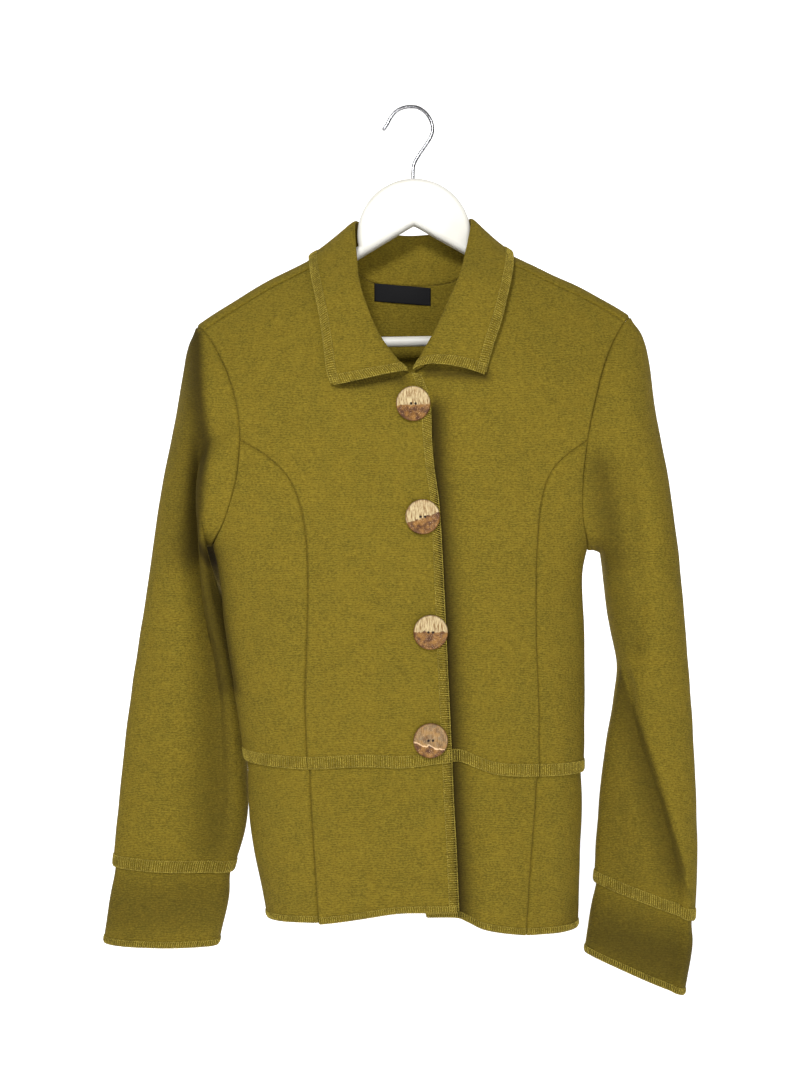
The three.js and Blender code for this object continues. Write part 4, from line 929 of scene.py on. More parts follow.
def add_stitching(name, points, normals, bands):
    """Overlock stitches along the given edges as threads.

    Every stitch is a bar from the band's inner line over the edge, a slanting dash on the inner
    line, and a loop along the edge itself. Each is a short path of (forward, in from the edge, up).
    """
    vertices, faces, count = [], [], 0
    for edge, width in bands.items():
        lines, normal = edge_lines(points, normals, edge)
        border = lines[:, 0]
        length = np.concatenate([[0], np.cumsum(np.linalg.norm(np.diff(border, axis=0), axis=-1))])
        stitches = np.arange(STITCH_PITCH / 2, length[-1] - STITCH_PITCH / 2, STITCH_PITCH)
        rng = np.random.default_rng(len(border))
        uneven = rng.uniform(-0.22, 0.22, (len(stitches), 3))
        bar = (
            (0.1, width, 0.1),
            (0.05, width - 0.9, 0.5),
            (0, width * 0.5, 0.62),
            (0, 0.9, 0.55),
            (0.1, -0.75, -0.3),
            (0.2, -1.0, -1.5),
        )
        dash = ((-0.9, width + 0.45, 0.15), (0, width - 0.1, 0.5), (0.9, width + 0.75, 0.15))
        loop = ((-1.05, -0.85, -0.2), (0, -1.15, -0.5), (1.05, -0.85, -0.2))
        for path in (bar, dash, loop):
            places = []
            for forward, inward, up in path:
                s = np.clip(stitches + forward + uneven[:, 0], 0, length[-1])
                spot = interpolate(s, length, at_distance(lines, inward))
                out = unit(interpolate(s, length, normal))
                places.append(spot + out * (up + 0.25 * uneven[:, 1:2]))
            own_points, own_faces = tubes(np.stack(places, 1), THREAD)
            vertices.append(own_points)
            faces.append(own_faces + count)
            count += len(own_points)
    vertices, faces = np.concatenate(vertices), np.concatenate(faces)
    piece = make_object(name, vertices, faces_out(vertices, faces), thread_material())
    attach(piece, "root")
    return piece


# Bodice and peplum


def front_panels(side):
    """The centre and side panels of one front."""
    spec = SIDES[side]
    princess_end = (spec["princess"]["x"][-1], spec["princess"]["down"][-1])
    edge_x = float(front_edge_x(waist_down(FRONT_MIDDLE))) + spec["edge_shift"]
    neck_x, shoulder_x = spec["neck"]["x"][-1], spec["armhole_upper"]["x"][0]

    def shoulder(fraction):
        x = neck_x + (shoulder_x - neck_x) * fraction
        return placed(x, ridge_down(x) + SHOULDER_ROLL)

    def lift(points):
        return closure_lift(side, points) + drape(points, 1)

    upper = STEPS["armhole_upper"]
    add_panel(
        f"front_centre_{side}",
        {
            "top": joined(
                (on_front(spec["neck"]), STEPS["front_neck"]), (shoulder, STEPS["shoulder"])
            ),
            "bottom": between(WAIST, edge_x, princess_end[0]),
            "start": front_edge(side, spec["neck"]["down"][0], float(waist_down(edge_x))),
            "end": joined(
                (on_front(spec["armhole_upper"]), upper),
                (on_front(spec["princess"]), STEPS["princess"]),
            ),
        },
        (upper + STEPS["princess"], STEPS["front_neck"] + STEPS["shoulder"]),
        (420, 200),
        lift,
        ("top", "end"),
        {"bottom": BANDS["waist"], "start": BANDS["front"]},
        ((upper,), (STEPS["front_neck"],)),
    )
    add_panel(
        f"front_side_{side}",
        {
            "top": on_front(spec["armhole_lower"]),
            "bottom": level(
                float(placed(*princess_end)[0]),
                spec["sign"] * np.pi / 2,
                princess_end[1],
                spec["waist"],
            ),
            "start": on_front(spec["princess"]),
            "end": side_seam(side, spec["underarm"], spec["waist"]),
        },
        (STEPS["princess"], STEPS["armhole_lower"]),
        (310, 100),
        lift,
        ("top", "start", "end"),
        {"bottom": BANDS["waist"]},
    )


def back_panel():
    """The back, from the neck and the shoulder seams, which lie a little forward, to the waist."""

    def seam(side):
        spec = SIDES[side]
        return joined(
            (backwards(on_back(spec["armhole_roll"])), STEPS["armhole_roll"]),
            (backwards(on_back(spec["armhole_back"])), STEPS["armhole_back"]),
            (side_seam(side, spec["underarm"], spec["waist"], True), STEPS["princess"]),
        )

    def shoulder(side):
        start, end = SIDES[side]["neck"]["x"][-1], SIDES[side]["armhole_upper"]["x"][0]

        def at(fraction):
            x = start + (end - start) * fraction
            return placed_back(x, np.full_like(x, -ROLL_RUN))

        return at

    roll, shoulder_steps = STEPS["armhole_roll"], STEPS["shoulder"]
    under_arm = roll + STEPS["armhole_back"]
    columns = STEPS["back_neck"] + 2 * shoulder_steps
    add_panel(
        "back",
        {
            "top": joined(
                (backwards(shoulder("right")), shoulder_steps),
                (on_back(NECK_BACK), STEPS["back_neck"]),
                (shoulder("left"), shoulder_steps),
            ),
            "bottom": back_level("waist"),
            "start": seam("right"),
            "end": seam("left"),
        },
        (under_arm + STEPS["princess"], columns),
        (600, 420),
        lambda points: drape(points, -1),
        ("top", "start", "end"),
        {"bottom": BANDS["waist"]},
        ((roll, under_arm), (shoulder_steps, columns - shoulder_steps)),
    )


def peplum_panels(side):
    """The centre and side pieces of one half of the front peplum."""
    spec = SIDES[side]
    seam = spec["peplum_seam"]
    first, last = (seam["x"][0], seam["down"][0]), (seam["x"][-1], seam["down"][-1])
    edge_top = float(front_edge_x(waist_down(FRONT_MIDDLE))) + spec["edge_shift"]
    hem = smooth(spec["hem_line"]["x"], spec["hem_line"]["down"])
    hem_start = float(hem(FRONT_MIDDLE + spec["edge_shift"]))
    edge_bottom = float(front_edge_x(hem_start)) + spec["edge_shift"]

    def lift(points):
        sunk = lap_sink(points, waist_down(points[..., 0]))
        return closure_lift(side, points) + drape(points, 1) + sunk

    def across(start, to_down):
        return level(float(placed(*start)[0]), spec["sign"] * np.pi / 2, start[1], to_down)

    add_panel(
        f"peplum_centre_{side}",
        {
            "top": between(WAIST, edge_top, first[0], LAP),
            "bottom": between(spec["hem_line"], edge_bottom, last[0]),
            "start": front_edge(side, float(waist_down(edge_top)) - LAP, hem_start),
            "end": on_front(seam),
        },
        (6, 12),
        (155, 130),
        lift,
        ("end",),
        {"bottom": BANDS["hem"], "start": BANDS["front"]},
    )
    add_panel(
        f"peplum_side_{side}",
        {
            "top": across(first, spec["waist"] - LAP),
            "bottom": across(last, spec["hem"]),
            "start": on_front(seam),
            "end": side_seam(side, spec["waist"] - LAP, spec["hem"]),
        },
        (6, 5),
        (160, 80),
        lift,
        ("start", "end"),
        {"bottom": BANDS["hem"]},
    )


def peplum_back():
    """The back of the peplum, in one piece from side seam to side seam."""
    right, left = SIDES["right"], SIDES["left"]
    add_panel(
        "peplum_back",
        {
            "top": back_level("waist", LAP),
            "bottom": back_level("hem"),
            "start": side_seam("right", right["waist"] - LAP, right["hem"], True),
            "end": side_seam("left", left["waist"] - LAP, left["hem"], True),
        },
        (6, 24),
        (160, 360),
        lambda points: drape(points, -1) + lap_sink(points, back_waist(points)),
        ("start", "end"),
        {"bottom": BANDS["hem"]},
    )


# Sleeves and cuffs

FRONT_AROUND = STEPS["armhole_upper"] + STEPS["armhole_lower"]
BACK_AROUND = STEPS["armhole_back"] + STEPS["armhole_roll"]
SLEEVE_AROUND = FRONT_AROUND + BACK_AROUND


def armhole(side, steps):
    """The sleeve's start round the armhole, down the front and up the back, by the panels' edge."""
    spec = SIDES[side]
    loop = joined(
        (on_front(spec["armhole_upper"]), STEPS["armhole_upper"]),
        (on_front(spec["armhole_lower"]), STEPS["armhole_lower"]),
        (on_back(spec["armhole_back"]), STEPS["armhole_back"]),
        (on_back(spec["armhole_roll"]), STEPS["armhole_roll"]),
    )

    def at(step):
        place = loop(step % SLEEVE_AROUND / SLEEVE_AROUND)
        return body(*place.T), body_normal(*place.T)

    point, normal = at(steps)
    tangent = at(steps + 0.1)[0] - at(steps - 0.1)[0]
    out = unit(np.cross(tangent, normal)) * -spec["sign"]
    return point + out * ARMHOLE_OUT + normal * unevenness(point)[:, None], out


def section(side, rows, steps):
    """Plain sections of a sleeve at rows of its table and steps round it.

    A section runs between its outer and inner ends as a cosine, with its depth as a sine to the
    power SECTION_ROUND. On the front, the crease is a bell-shaped trough with its own spread on
    either side, and past the fold the cloth drops back by a smooth step.
    """
    keys = np.arange(len(SLEEVES[side]["dip"]))
    t = {name: smooth(keys, values)(rows)[:, None] for name, values in SLEEVES[side].items()}
    front_angle = np.pi * steps / FRONT_AROUND
    back_angle = np.pi + np.pi * (steps - FRONT_AROUND) / BACK_AROUND
    angle = np.where(steps <= FRONT_AROUND, front_angle, back_angle)[None]
    across = np.cos(angle)
    deep = np.abs(np.sin(angle)) ** SECTION_ROUND
    x = part_way(t["inner_x"], t["outer_x"], across)
    down = part_way(t["inner_down"], t["outer_down"], across)
    front = np.sin(angle) > 0
    past = smoothstep((t["fold"] - across) / FOLD_SPREAD[side], -0.5, 0.5)
    inner_spread, outer_spread = CREASE_SPREAD[side]
    from_crease = across - t["crease"]
    spread = np.where(from_crease > 0, outer_spread, inner_spread)
    trough = np.exp(-((from_crease / spread) ** 2))
    folds = deep * (t["dip"] * trough + t["drop"] * past)
    y = t["middle"] + np.where(front, -deep * t["front"] + folds, deep * t["back"])
    return np.stack([x, y, -down], -1)


def sleeve_grid(side, rows, steps):
    """The sleeve's surface: plain sections, bent at the top so that the first is the armhole."""
    points = section(side, rows, steps)
    start, out = armhole(side, steps)
    shift = start - section(side, np.zeros(1), steps)[0]
    share = np.maximum(0, 1 - rows / CAP_ROWS) ** 2
    return points + share[:, None, None] * shift, out


def row_lines(start, end, cells, near):
    """Rows from start to end, closer together near both ends."""
    t = np.linspace(0, 1, cells + 1)
    edge = np.array([0.15, 0.35, 0.6, 0.85])
    fine = edge * near * 4
    middle = t[(t > fine[-1] * 1.2) & (t < 1 - fine[-1] * 1.2)]
    return start + (end - start) * np.concatenate([[0], fine, middle, 1 - fine[::-1], [1]])


def add_tube(name, side, rows, sink, seam, band):
    """A sleeve or cuff as a tube of cloth, with a height at each row and a seam on top or none."""
    count = SLEEVE_AROUND * CELLS_IN_STEP
    steps = np.arange(count) * SLEEVE_AROUND / count
    points, out = sleeve_grid(side, rows, steps)
    normal = grid_normals(points, True, -SIDES[side]["sign"])
    outward = np.maximum(0, (normal * out).sum(-1, keepdims=True))
    normal = unit(normal - out * outward * np.maximum(0, 1 - rows)[:, None, None])
    ease = SLEEVE_EASE * smoothstep(rows, 0, SLEEVE_EASE_ROWS) + sink(rows)
    height = ease[:, None] + unevenness(points) * np.minimum(1, rows)[:, None]
    if seam:
        height = height + seam_groove(points, ("top",))
    outer = points + normal * height[..., None]
    add_cloth(name, outer, -normal * CLOTH, {"bottom": band}, around=True)


def sleeves_and_cuffs(side):
    """One sleeve down to its lapped end, and the cuff from under it."""
    seam_row = CUFF_SEAM_ROW[side]
    last = len(SLEEVES[side]["dip"]) - 1
    add_tube(
        f"sleeve_{side}",
        side,
        row_lines(0, seam_row, 110, 0.004),
        lambda rows: np.zeros_like(rows),
        True,
        BANDS["cuff"],
    )
    add_tube(
        f"cuff_{side}",
        side,
        row_lines(seam_row - CUFF_LAP_ROWS, last, 24, 0.02),
        lambda rows: -LAP_STEP * np.exp(-((np.maximum(0, rows - seam_row) / CUFF_FADE_ROWS) ** 2)),
        False,
        BANDS["hem"],
    )


# Collar

collar_at = {name: smooth(COLLAR["along"], values) for name, values in COLLAR.items()}


def neckline(along):
    """Points, normals and the way out of the neck edge at places along the collar."""
    spans = {
        "right": (0, RIGHT_SHOULDER_ALONG, lambda t: t),
        "back": (RIGHT_SHOULDER_ALONG, LEFT_SHOULDER_ALONG, lambda t: t),
        "left": (LEFT_SHOULDER_ALONG, 1, lambda t: 1 - t),
    }
    curves = {"back": on_back(NECK_BACK)}
    for side in ("right", "left"):
        rows = {name: values[1:] for name, values in SIDES[side]["neck"].items()}
        curves[side] = on_front(rows)
    point, normal, out = (np.zeros((len(along), 3)) for _ in range(3))
    for part, (low, high, way) in spans.items():
        mine = (along >= low) & (along <= high)

        def at(places, curve=curves[part], low=low, high=high, way=way, part=part):
            place = curve(way((np.clip(places, low, high) - low) / (high - low)))
            spot, facing = body(*place.T), body_normal(*place.T)
            if part == "back":
                lift = drape(spot, -1)
            else:
                lift = closure_lift(part, spot) + drape(spot, 1)
            return spot + facing * lift[:, None], facing

        point[mine], normal[mine] = at(along[mine])
        tangent = at(along[mine] + 0.004)[0] - at(along[mine] - 0.004)[0]
        out[mine] = unit(np.cross(tangent, normal[mine]))
    return point, normal, out


def bezier(first, second, third, fourth, t):
    """Cubic curves between two rows of points with two rows of handles."""
    s = 1 - t
    weights = [s * s * s, 3 * s * s * t, 3 * s * t * t, t * t * t]
    points = [first, second, third, fourth]
    return sum(point[:, None] * weight[None, :, None] for point, weight in zip(points, weights))


def collar_piece():
    """The collar: at each place along the neck a stand up to the fold, and a fall to its edge.

    The stand is a cubic curve from the neckline to the fold's crest, and the fall one from the
    crest to the free edge that stands out by the bulge. At both ends the fall arches upward by a
    sine. The cloth lies on their inner side.
    """
    ends = np.array(COLLAR_END_LINES)
    middle = np.linspace(0, 1, COLLAR_LINES)
    middle = middle[np.abs(middle - 0.5) < COLLAR_MIDDLE_HALF]
    along = np.concatenate([[0], ends, middle, 1 - ends[::-1], [1]])
    from_end = np.minimum(along, 1 - along)

    def read(name):
        axes = [collar_at[f"{name}_{axis}"](along) for axis in ("x", "y", "down")]
        return np.stack(axes, -1) * [1, 1, -1]

    neck, normal, out = neckline(along)
    ending = np.maximum(0, 1 - from_end / COLLAR_END_RUN)[:, None]
    foot = neck + out * COLLAR_GAP + normal * COLLAR_END_LIFT * ending
    edge, crest = read("edge"), read("fold")
    rise = unit(crest - foot)
    over = edge - foot
    over = unit(over - rise * (over * rise).sum(-1, keepdims=True))
    crest = crest - rise * CLOTH
    lean = crest - foot
    reach = np.minimum(FOLD_HANDLE, np.linalg.norm(lean, axis=-1, keepdims=True) * 0.3)
    handles = foot + lean * 0.4, crest - over * reach - lean * 0.08
    stand = bezier(foot, *handles, crest, np.linspace(0, 1, STAND_LINES))
    fall = edge - crest
    drop = unit(fall)
    away = unit(rise - drop * (rise * drop).sum(-1, keepdims=True))
    bulge = 4 / 3 * collar_at["bulge"](along)[:, None]
    across = np.concatenate([np.linspace(0, 0.86, FALL_LINES)[1:], FALL_END_LINES])
    handles = crest + over * FOLD_HANDLE + away * bulge * 0.3, crest + fall * 0.6 + away * bulge
    leaf = bezier(crest, *handles, edge, across)
    near = np.maximum(0, 1 - from_end / COLLAR_ARCH_RUN)
    tilt = np.cross(drop, away)
    tilt = tilt * np.sign(tilt[:, 2:])
    arch = COLLAR_ARCH * (near**2)[:, None] * np.sin(np.pi * across)
    leaf = leaf + tilt[:, None] * arch[..., None]
    face = np.concatenate([stand, leaf], axis=1)
    normal = grid_normals(face, False, 1)
    outer = face + normal * (0.5 * unevenness(face))[..., None]
    bands = dict.fromkeys(("end", "top", "bottom"), BANDS["collar"])
    add_cloth("collar", outer, -normal * CLOTH, bands, shaded=False)


# Buttons, label and hanger


def placed_like(name, points):
    """Points moved so that the middle of their box is that of a CAD node's box."""
    low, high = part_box(name)
    middle = (np.array(low) + np.array(high)) / 2 / MM
    return points + middle - (points.min(axis=0) + points.max(axis=0)) / 2


def add_button(index):
    """A button: rings of a lathe profile, with two holes pressed into it as steep round pits."""
    turn, tip, *marks = BUTTONS[index]
    profile_r, profile_h = BUTTON_PROFILE["radius"], BUTTON_PROFILE["height"]
    length = np.concatenate([[0], np.cumsum(np.hypot(np.diff(profile_r), np.diff(profile_h)))])
    share = np.concatenate([np.linspace(0, 0.24, 34), np.linspace(0.25, 1, 70)])
    radius = np.interp(share * length[-1], length, profile_r)[:, None]
    height = np.interp(share * length[-1], length, profile_h)[:, None]
    angle = np.linspace(0, TURN, 120, endpoint=False)[None]
    px, pz = radius * np.cos(angle), radius * np.sin(angle)
    near = np.hypot(np.abs(px) - BUTTON_HOLE_SPACING / 2, pz)
    pit = BUTTON_PIT * (1 - smoothstep(near, BUTTON_HOLE_RADIUS * 0.8, BUTTON_HOLE_RADIUS * 1.15))
    depth = height - np.where((height > BUTTON_THICK - 1.2) & (radius < 5), pit, 0)
    points = np.stack([px, -depth, pz], -1)
    number = np.arange(points.shape[0] * points.shape[1]).reshape(points.shape[:2])
    faces = ring_faces(number)
    flat = points.reshape(-1, 3)
    uv = flat[:, [0, 2]] * MM
    spin = Matrix.Rotation(np.radians(turn), 3, "Z") @ Matrix.Rotation(np.radians(tip), 3, "X")
    moved = flat @ np.array(spin).T
    name = f"button_{index + 1}"
    moved = placed_like(name, moved)
    piece = make_object(f"{name}_face", moved, faces, button_material(*marks), uv)
    merge_close(piece)
    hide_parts(name)
    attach(piece, "root")


def merge_close(piece):
    """Joins points that lie on each other, such as a pole's, and turns the faces outwards."""
    work = bmesh.new()
    work.from_mesh(piece.data)
    bmesh.ops.remove_doubles(work, verts=work.verts, dist=1e-6)
    bmesh.ops.recalc_face_normals(work, faces=work.faces)
    work.to_mesh(piece.data)
    work.free()


def in_hanger_frame(points):
    """Points of the hanger, given about its own middle, moved and tilted as it hangs."""
    moved = points + np.array([HANGER_CENTRE, 0, 0])
    cos, sin = np.cos(HANGER_TILT), np.sin(HANGER_TILT)
    x = moved[..., 0] * cos - moved[..., 2] * sin
    z = moved[..., 0] * sin + moved[..., 2] * cos
    return np.stack([x, moved[..., 1], z], -1)


def hanger_outline():
    """The hanger's outline less its rounded edge: arch, arm, tip, underside, and the other half."""
    inset = EDGE_ROUND
    arm_down = smooth(ARM["x"], ARM["down"])
    angle = np.linspace(0, ARCH_END, 26)
    radius = ARCH_RADIUS - inset
    arch = np.stack([radius * np.sin(angle), -ARCH_DOWN + radius * np.cos(angle)], -1)
    x = np.linspace(ARM["x"][0], HANGER_HALF - 14, 16)
    arm = np.stack([x - 2, -arm_down(x) - inset], -1)
    tip_down = float(arm_down(HANGER_HALF))
    inwards, below_arm, below_bar = (np.array(values) for values in HANGER_TIP)
    tip_height = -np.concatenate([tip_down + inset + below_arm, BAR_DOWN + below_bar])
    tip = np.stack([HANGER_HALF - inset - inwards, tip_height], -1)
    rise = inset / np.cos(np.arctan(NOTCH_SLOPE))
    x = np.array(HANGER_UNDER)
    lower = -(NOTCH_DOWN + NOTCH_SLOPE * np.minimum(x, HANGER_HALF - 40) - rise)
    under = np.stack([x, lower - np.where(x < 4, 0.5, 0)], -1)
    half = np.concatenate([arch, arm, tip, under])
    return np.concatenate([half, [[0, -NOTCH_DOWN + rise - 1.1]], half[:0:-1] * [-1, 1]])


def add_hanger_wood():
    """The wood: the outline let out as a quarter round on both faces, and closed by them."""
    base = hanger_outline()
    before, after = base - np.roll(base, 1, axis=0), np.roll(base, -1, axis=0) - base
    sides = [unit(np.stack([-step[:, 1], step[:, 0]], -1)) for step in (before, after)]
    lean = 1 + (sides[0] * sides[1]).sum(-1, keepdims=True)
    mitre = (sides[0] + sides[1]) / np.maximum(lean, 0.4)
    angle = np.linspace(0, np.pi / 2, 7)
    straight = HANGER_THICK / 2 - EDGE_ROUND
    rings = []
    for turn in angle:
        rings.append((EDGE_ROUND * np.sin(turn), -straight - EDGE_ROUND * np.cos(turn)))
    for turn in angle[::-1]:
        rings.append((EDGE_ROUND * np.sin(turn), straight + EDGE_ROUND * np.cos(turn)))
    points = []
    for let_out, y in rings:
        flat = base + mitre * let_out
        points.append(np.stack([flat[:, 0], np.full(len(flat), y), flat[:, 1]], -1))
    points = np.concatenate(points)
    count = len(base)
    number = np.arange(len(points)).reshape(len(rings), count)
    faces = ring_faces(number).tolist()
    faces += [number[0].tolist(), number[-1][::-1].tolist()]
    piece = make_object("hanger_wood_paint", in_hanger_frame(points), faces, paint_material())
    merge_close(piece)
    piece.data.set_sharp_from_angle(angle=np.radians(35))
    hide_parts("hanger_wood")
    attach(piece, "root")


def swept(path, radius, sides, name, material):
    """A round rod along a path, with round ends: rings whose size falls as a quarter circle."""
    along = unit(np.gradient(path, axis=0))
    side = unit(np.cross(along, np.array([0, 1, 0])))
    up = np.cross(side, along)
    steps = np.linspace(0, np.pi / 2, 5)
    cap = radius * np.sin(steps)
    start = path[0] - along[0] * cap[::-1, None]
    end = path[-1] + along[-1] * cap[:, None]
    centres = np.concatenate([start[:-1], path, end[1:]])
    size = np.concatenate([np.cos(steps[::-1])[:-1], np.ones(len(path)), np.cos(steps)[1:]])
    pick = np.clip(np.arange(len(centres)) - (len(steps) - 1), 0, len(path) - 1)
    angle = (np.arange(sides) * TURN / sides)[None, :, None]
    ring = side[pick][:, None] * np.cos(angle) + up[pick][:, None] * np.sin(angle)
    points = centres[:, None] + ring * (size * radius)[:, None, None]
    number = np.arange(len(centres) * sides).reshape(-1, sides)
    faces = ring_faces(number)
    piece = make_object(name, in_hanger_frame(points.reshape(-1, 3)), faces, material)
    merge_close(piece)
    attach(piece, "root")
    return piece


def add_bar_and_hook():
    """The bar, and the hook's wire along a smooth curve through its table."""
    x = np.linspace(-BAR_HALF + 1, BAR_HALF - 1, 40)
    bar = np.stack([x, np.zeros_like(x), np.full_like(x, -BAR_DOWN)], -1)
    piece = swept(bar, BAR_RADIUS, 40, "hanger_bar_paint", paint_material())
    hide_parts("hanger_bar")
    at = line({"x": HOOK["x"] - HANGER_CENTRE, "down": HOOK["down"]})
    hook_x, hook_down = at(np.linspace(0, 1, 220))
    wire = np.stack([hook_x, np.zeros_like(hook_x), -hook_down], -1)
    piece = swept(wire, WIRE_RADIUS, 20, "hanger_hook_wire", wire_material())
    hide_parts("hanger_hook")


def add_label():
    """The bare neck label: a thin satin plate on the back's inner face, sewn at its two ends."""
    u, v = np.meshgrid(np.linspace(0, 1, 40), np.linspace(0, 1, 16))
    (left, top_left), (right, top_right) = LABEL_TOP
    x = left + (right - left) * u
    down = top_left + (top_right - top_left) * u + LABEL_TALL * v
    place = placed(x, down, back=True)
    turn, run = place[..., 0], place[..., 1]
    normal = body_normal(turn, run)
    sag = LABEL_SAG * np.sin(np.pi * u) * np.sin(np.pi * v / 1.4)
    outer = body(turn, run) - normal * (CLOTH + LABEL_GAP + sag)[..., None]
    points, faces = wall(outer, -normal * LABEL_THICK, dict.fromkeys(EDGES, LABEL_ROUND))
    uv = cloth_uv(outer, len(points))
    piece = make_object("neck_label_satin", points, faces, label_material(), uv)
    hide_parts("neck_label")
    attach(piece, "root")


# Materials


def linear(colour):
    """A colour with its alpha, for a socket."""
    return (*colour[:3], 1.0)


def shade(red, green, blue):
    """A display colour of 0 to 255 as linear light."""
    value = np.array([red, green, blue]) / 255
    return tuple(np.where(value <= 0.04045, value / 12.92, ((value + 0.055) / 1.055) ** 2.4))


class NodeSheet:
    """Short calls to lay out a material's or a group's nodes."""

    def __init__(self, tree):
        self.tree = tree

    def put(self, node, inputs):
        """Gives a node its inputs, each a value or a socket to link."""
        for name, value in inputs.items():
            if isinstance(value, bpy.types.NodeSocket):
                self.tree.links.new(value, node.inputs[name])
            else:
                node.inputs[name].default_value = value
        return node

    def add(self, kind, inputs=None, **settings):
        """A node with its settings and inputs."""
        node = self.tree.nodes.new(kind)
        for name, value in settings.items():
            setattr(node, name, value)
        return self.put(node, inputs or {})

    def place(self, kind="Object"):
        """The Object or UV coordinates."""
        return self.add("ShaderNodeTexCoord").outputs[kind]

    def math(self, operation, first, second=0.0):
        """The result of one sum."""
        return self.add("ShaderNodeMath", {0: first, 1: second}, operation=operation).outputs[0]

    def weighed(self, first, first_share, second, second_share):
        """The sum of two values, each times its share."""
        first = self.math("MULTIPLY", first, first_share)
        return self.math("ADD", first, self.math("MULTIPLY", second, second_share))

    def vector(self, operation, first, second=(0, 0, 0)):
        """A vector sum's node."""
        return self.add("ShaderNodeVectorMath", {0: first, 1: second}, operation=operation)

    def stretched(self, vector, scale):
        """A vector scaled along each axis."""
        return self.add("ShaderNodeMapping", {"Vector": vector, "Scale": scale}).outputs[0]

    def mix(self, factor, first, second):
        """Two colours mixed."""
        inputs = {0: factor, 6: first, 7: second}
        return self.add("ShaderNodeMix", inputs, data_type="RGBA").outputs[2]

    def noise(self, vector, scale, detail=2.0, rough=0.5):
        """A noise's value."""
        inputs = {"Vector": vector, "Scale": scale, "Detail": detail, "Roughness": rough}
        return self.add("ShaderNodeTexNoise", inputs).outputs["Fac"]

    def ramp(self, value, low, high):
        """A value's smooth rise from 0 at low to 1 at high."""
        inputs = {"Value": value, "From Min": low, "From Max": high}
        return self.add("ShaderNodeMapRange", inputs, interpolation_type="SMOOTHSTEP").outputs[0]

    def bump(self, height, strength, distance):
        """The normal of a bumpy surface."""
        inputs = {"Height": height, "Strength": strength, "Distance": distance}
        return self.add("ShaderNodeBump", inputs).outputs[0]


def felt_group():
    """Felted wool: a fine matted grain, knit courses faintly through it, and soft mottling."""
    if "felted wool" in bpy.data.node_groups:
        return bpy.data.node_groups["felted wool"]
    tree = bpy.data.node_groups.new("felted wool", "ShaderNodeTree")
    tree.interface.new_socket("Place", in_out="INPUT", socket_type="NodeSocketVector")
    for name in ("Mottle", "Grain", "Height"):
        tree.interface.new_socket(name, in_out="OUTPUT", socket_type="NodeSocketFloat")
    sheet = NodeSheet(tree)
    place = sheet.add("NodeGroupInput").outputs["Place"]
    fine = sheet.noise(place, 1300, 4, 0.65)
    matted = sheet.noise(place, 520, 3, 0.6)
    fibres = sheet.noise(sheet.stretched(place, (420, 420, 1250)), 1, 3, 0.6)
    wander = sheet.noise(place, 160, 2)
    height = sheet.add("ShaderNodeSeparateXYZ", {0: place}).outputs[2]
    courses = sheet.math("SINE", sheet.weighed(height, TURN / KNIT_COURSE, wander, 1.6 * TURN))
    broad = sheet.noise(place, 26, 3, 0.6)
    patches = sheet.noise(place, 110, 2, 0.5)
    grain = sheet.weighed(fine, 0.25, fibres, 0.45)
    grain = sheet.weighed(grain, 1, matted, 0.3)
    results = {
        "Mottle": sheet.weighed(broad, 0.45, patches, 0.55),
        "Grain": sheet.weighed(grain, 1, courses, 0.05),
        "Height": sheet.weighed(sheet.weighed(grain, 1, courses, 0.06), 1, patches, 0.3),
    }
    sheet.put(sheet.add("NodeGroupOutput"), results)
    return tree


def new_material(name):
    """A material with its sheet and Principled shader."""
    material = bpy.data.materials.new(name)
    material.use_nodes = True
    sheet = NodeSheet(material.node_tree)
    return material, sheet, material.node_tree.nodes["Principled BSDF"]


def wool_material():
    """The cardigan's cloth: the felt in three greens, matt, with a soft sheen on its nap and
    painted shade in its folds.
    """
    if "olive boiled wool" in bpy.data.materials:
        return bpy.data.materials["olive boiled wool"]
    look = bpy.context.scene.cardigan_wool
    material, sheet, shader = new_material("olive boiled wool")
    felt = sheet.add("ShaderNodeGroup", {"Place": sheet.place()}, node_tree=felt_group())
    grain = sheet.ramp(felt.outputs["Grain"], 0.36, 0.66)
    mottle = sheet.ramp(felt.outputs["Mottle"], 0.35, 0.65)
    colour = sheet.mix(grain, linear(look.dark), linear(look.light))
    warm = sheet.mix(mottle, linear(look.cool), linear(look.warm))
    colour = sheet.mix(0.35, colour, warm)
    # Painted shade: the shade attribute mixes the shaded colour into the cloth's colour
    shaded = sheet.add("ShaderNodeAttribute", attribute_name="shade").outputs["Fac"]
    inputs = {
        "Base Color": sheet.mix(shaded, colour, linear(look.shaded)),
        "Roughness": 0.95,
        "Specular IOR Level": 0.15,
        "Sheen Weight": 0.12,
        "Sheen Roughness": 0.4,
        "Sheen Tint": linear(look.light),
        "Normal": sheet.bump(felt.outputs["Height"], 0.9, 0.0011),
    }
    sheet.put(shader, inputs)
    return material


def thread_material():
    """The overlock thread: yellower and lighter than the cloth, with twisted plies."""
    if "olive overlock thread" in bpy.data.materials:
        return bpy.data.materials["olive overlock thread"]
    look = bpy.context.scene.cardigan_wool
    material, sheet, shader = new_material("olive overlock thread")
    place = sheet.place()
    grain = sheet.noise(place, 1500, 2, 0.6)
    patches = sheet.math("MULTIPLY", sheet.ramp(sheet.noise(place, 120), 0.4, 0.7), 0.4)
    plies = sheet.mix(sheet.ramp(grain, 0.35, 0.65), linear(look.thread_dark), linear(look.thread))
    inputs = {
        "Base Color": sheet.mix(patches, plies, linear(look.dark)),
        "Roughness": 0.8,
        "Specular IOR Level": 0.2,
        "Normal": sheet.bump(grain, 0.6, 0.0004),
    }
    sheet.put(shader, inputs)
    return material


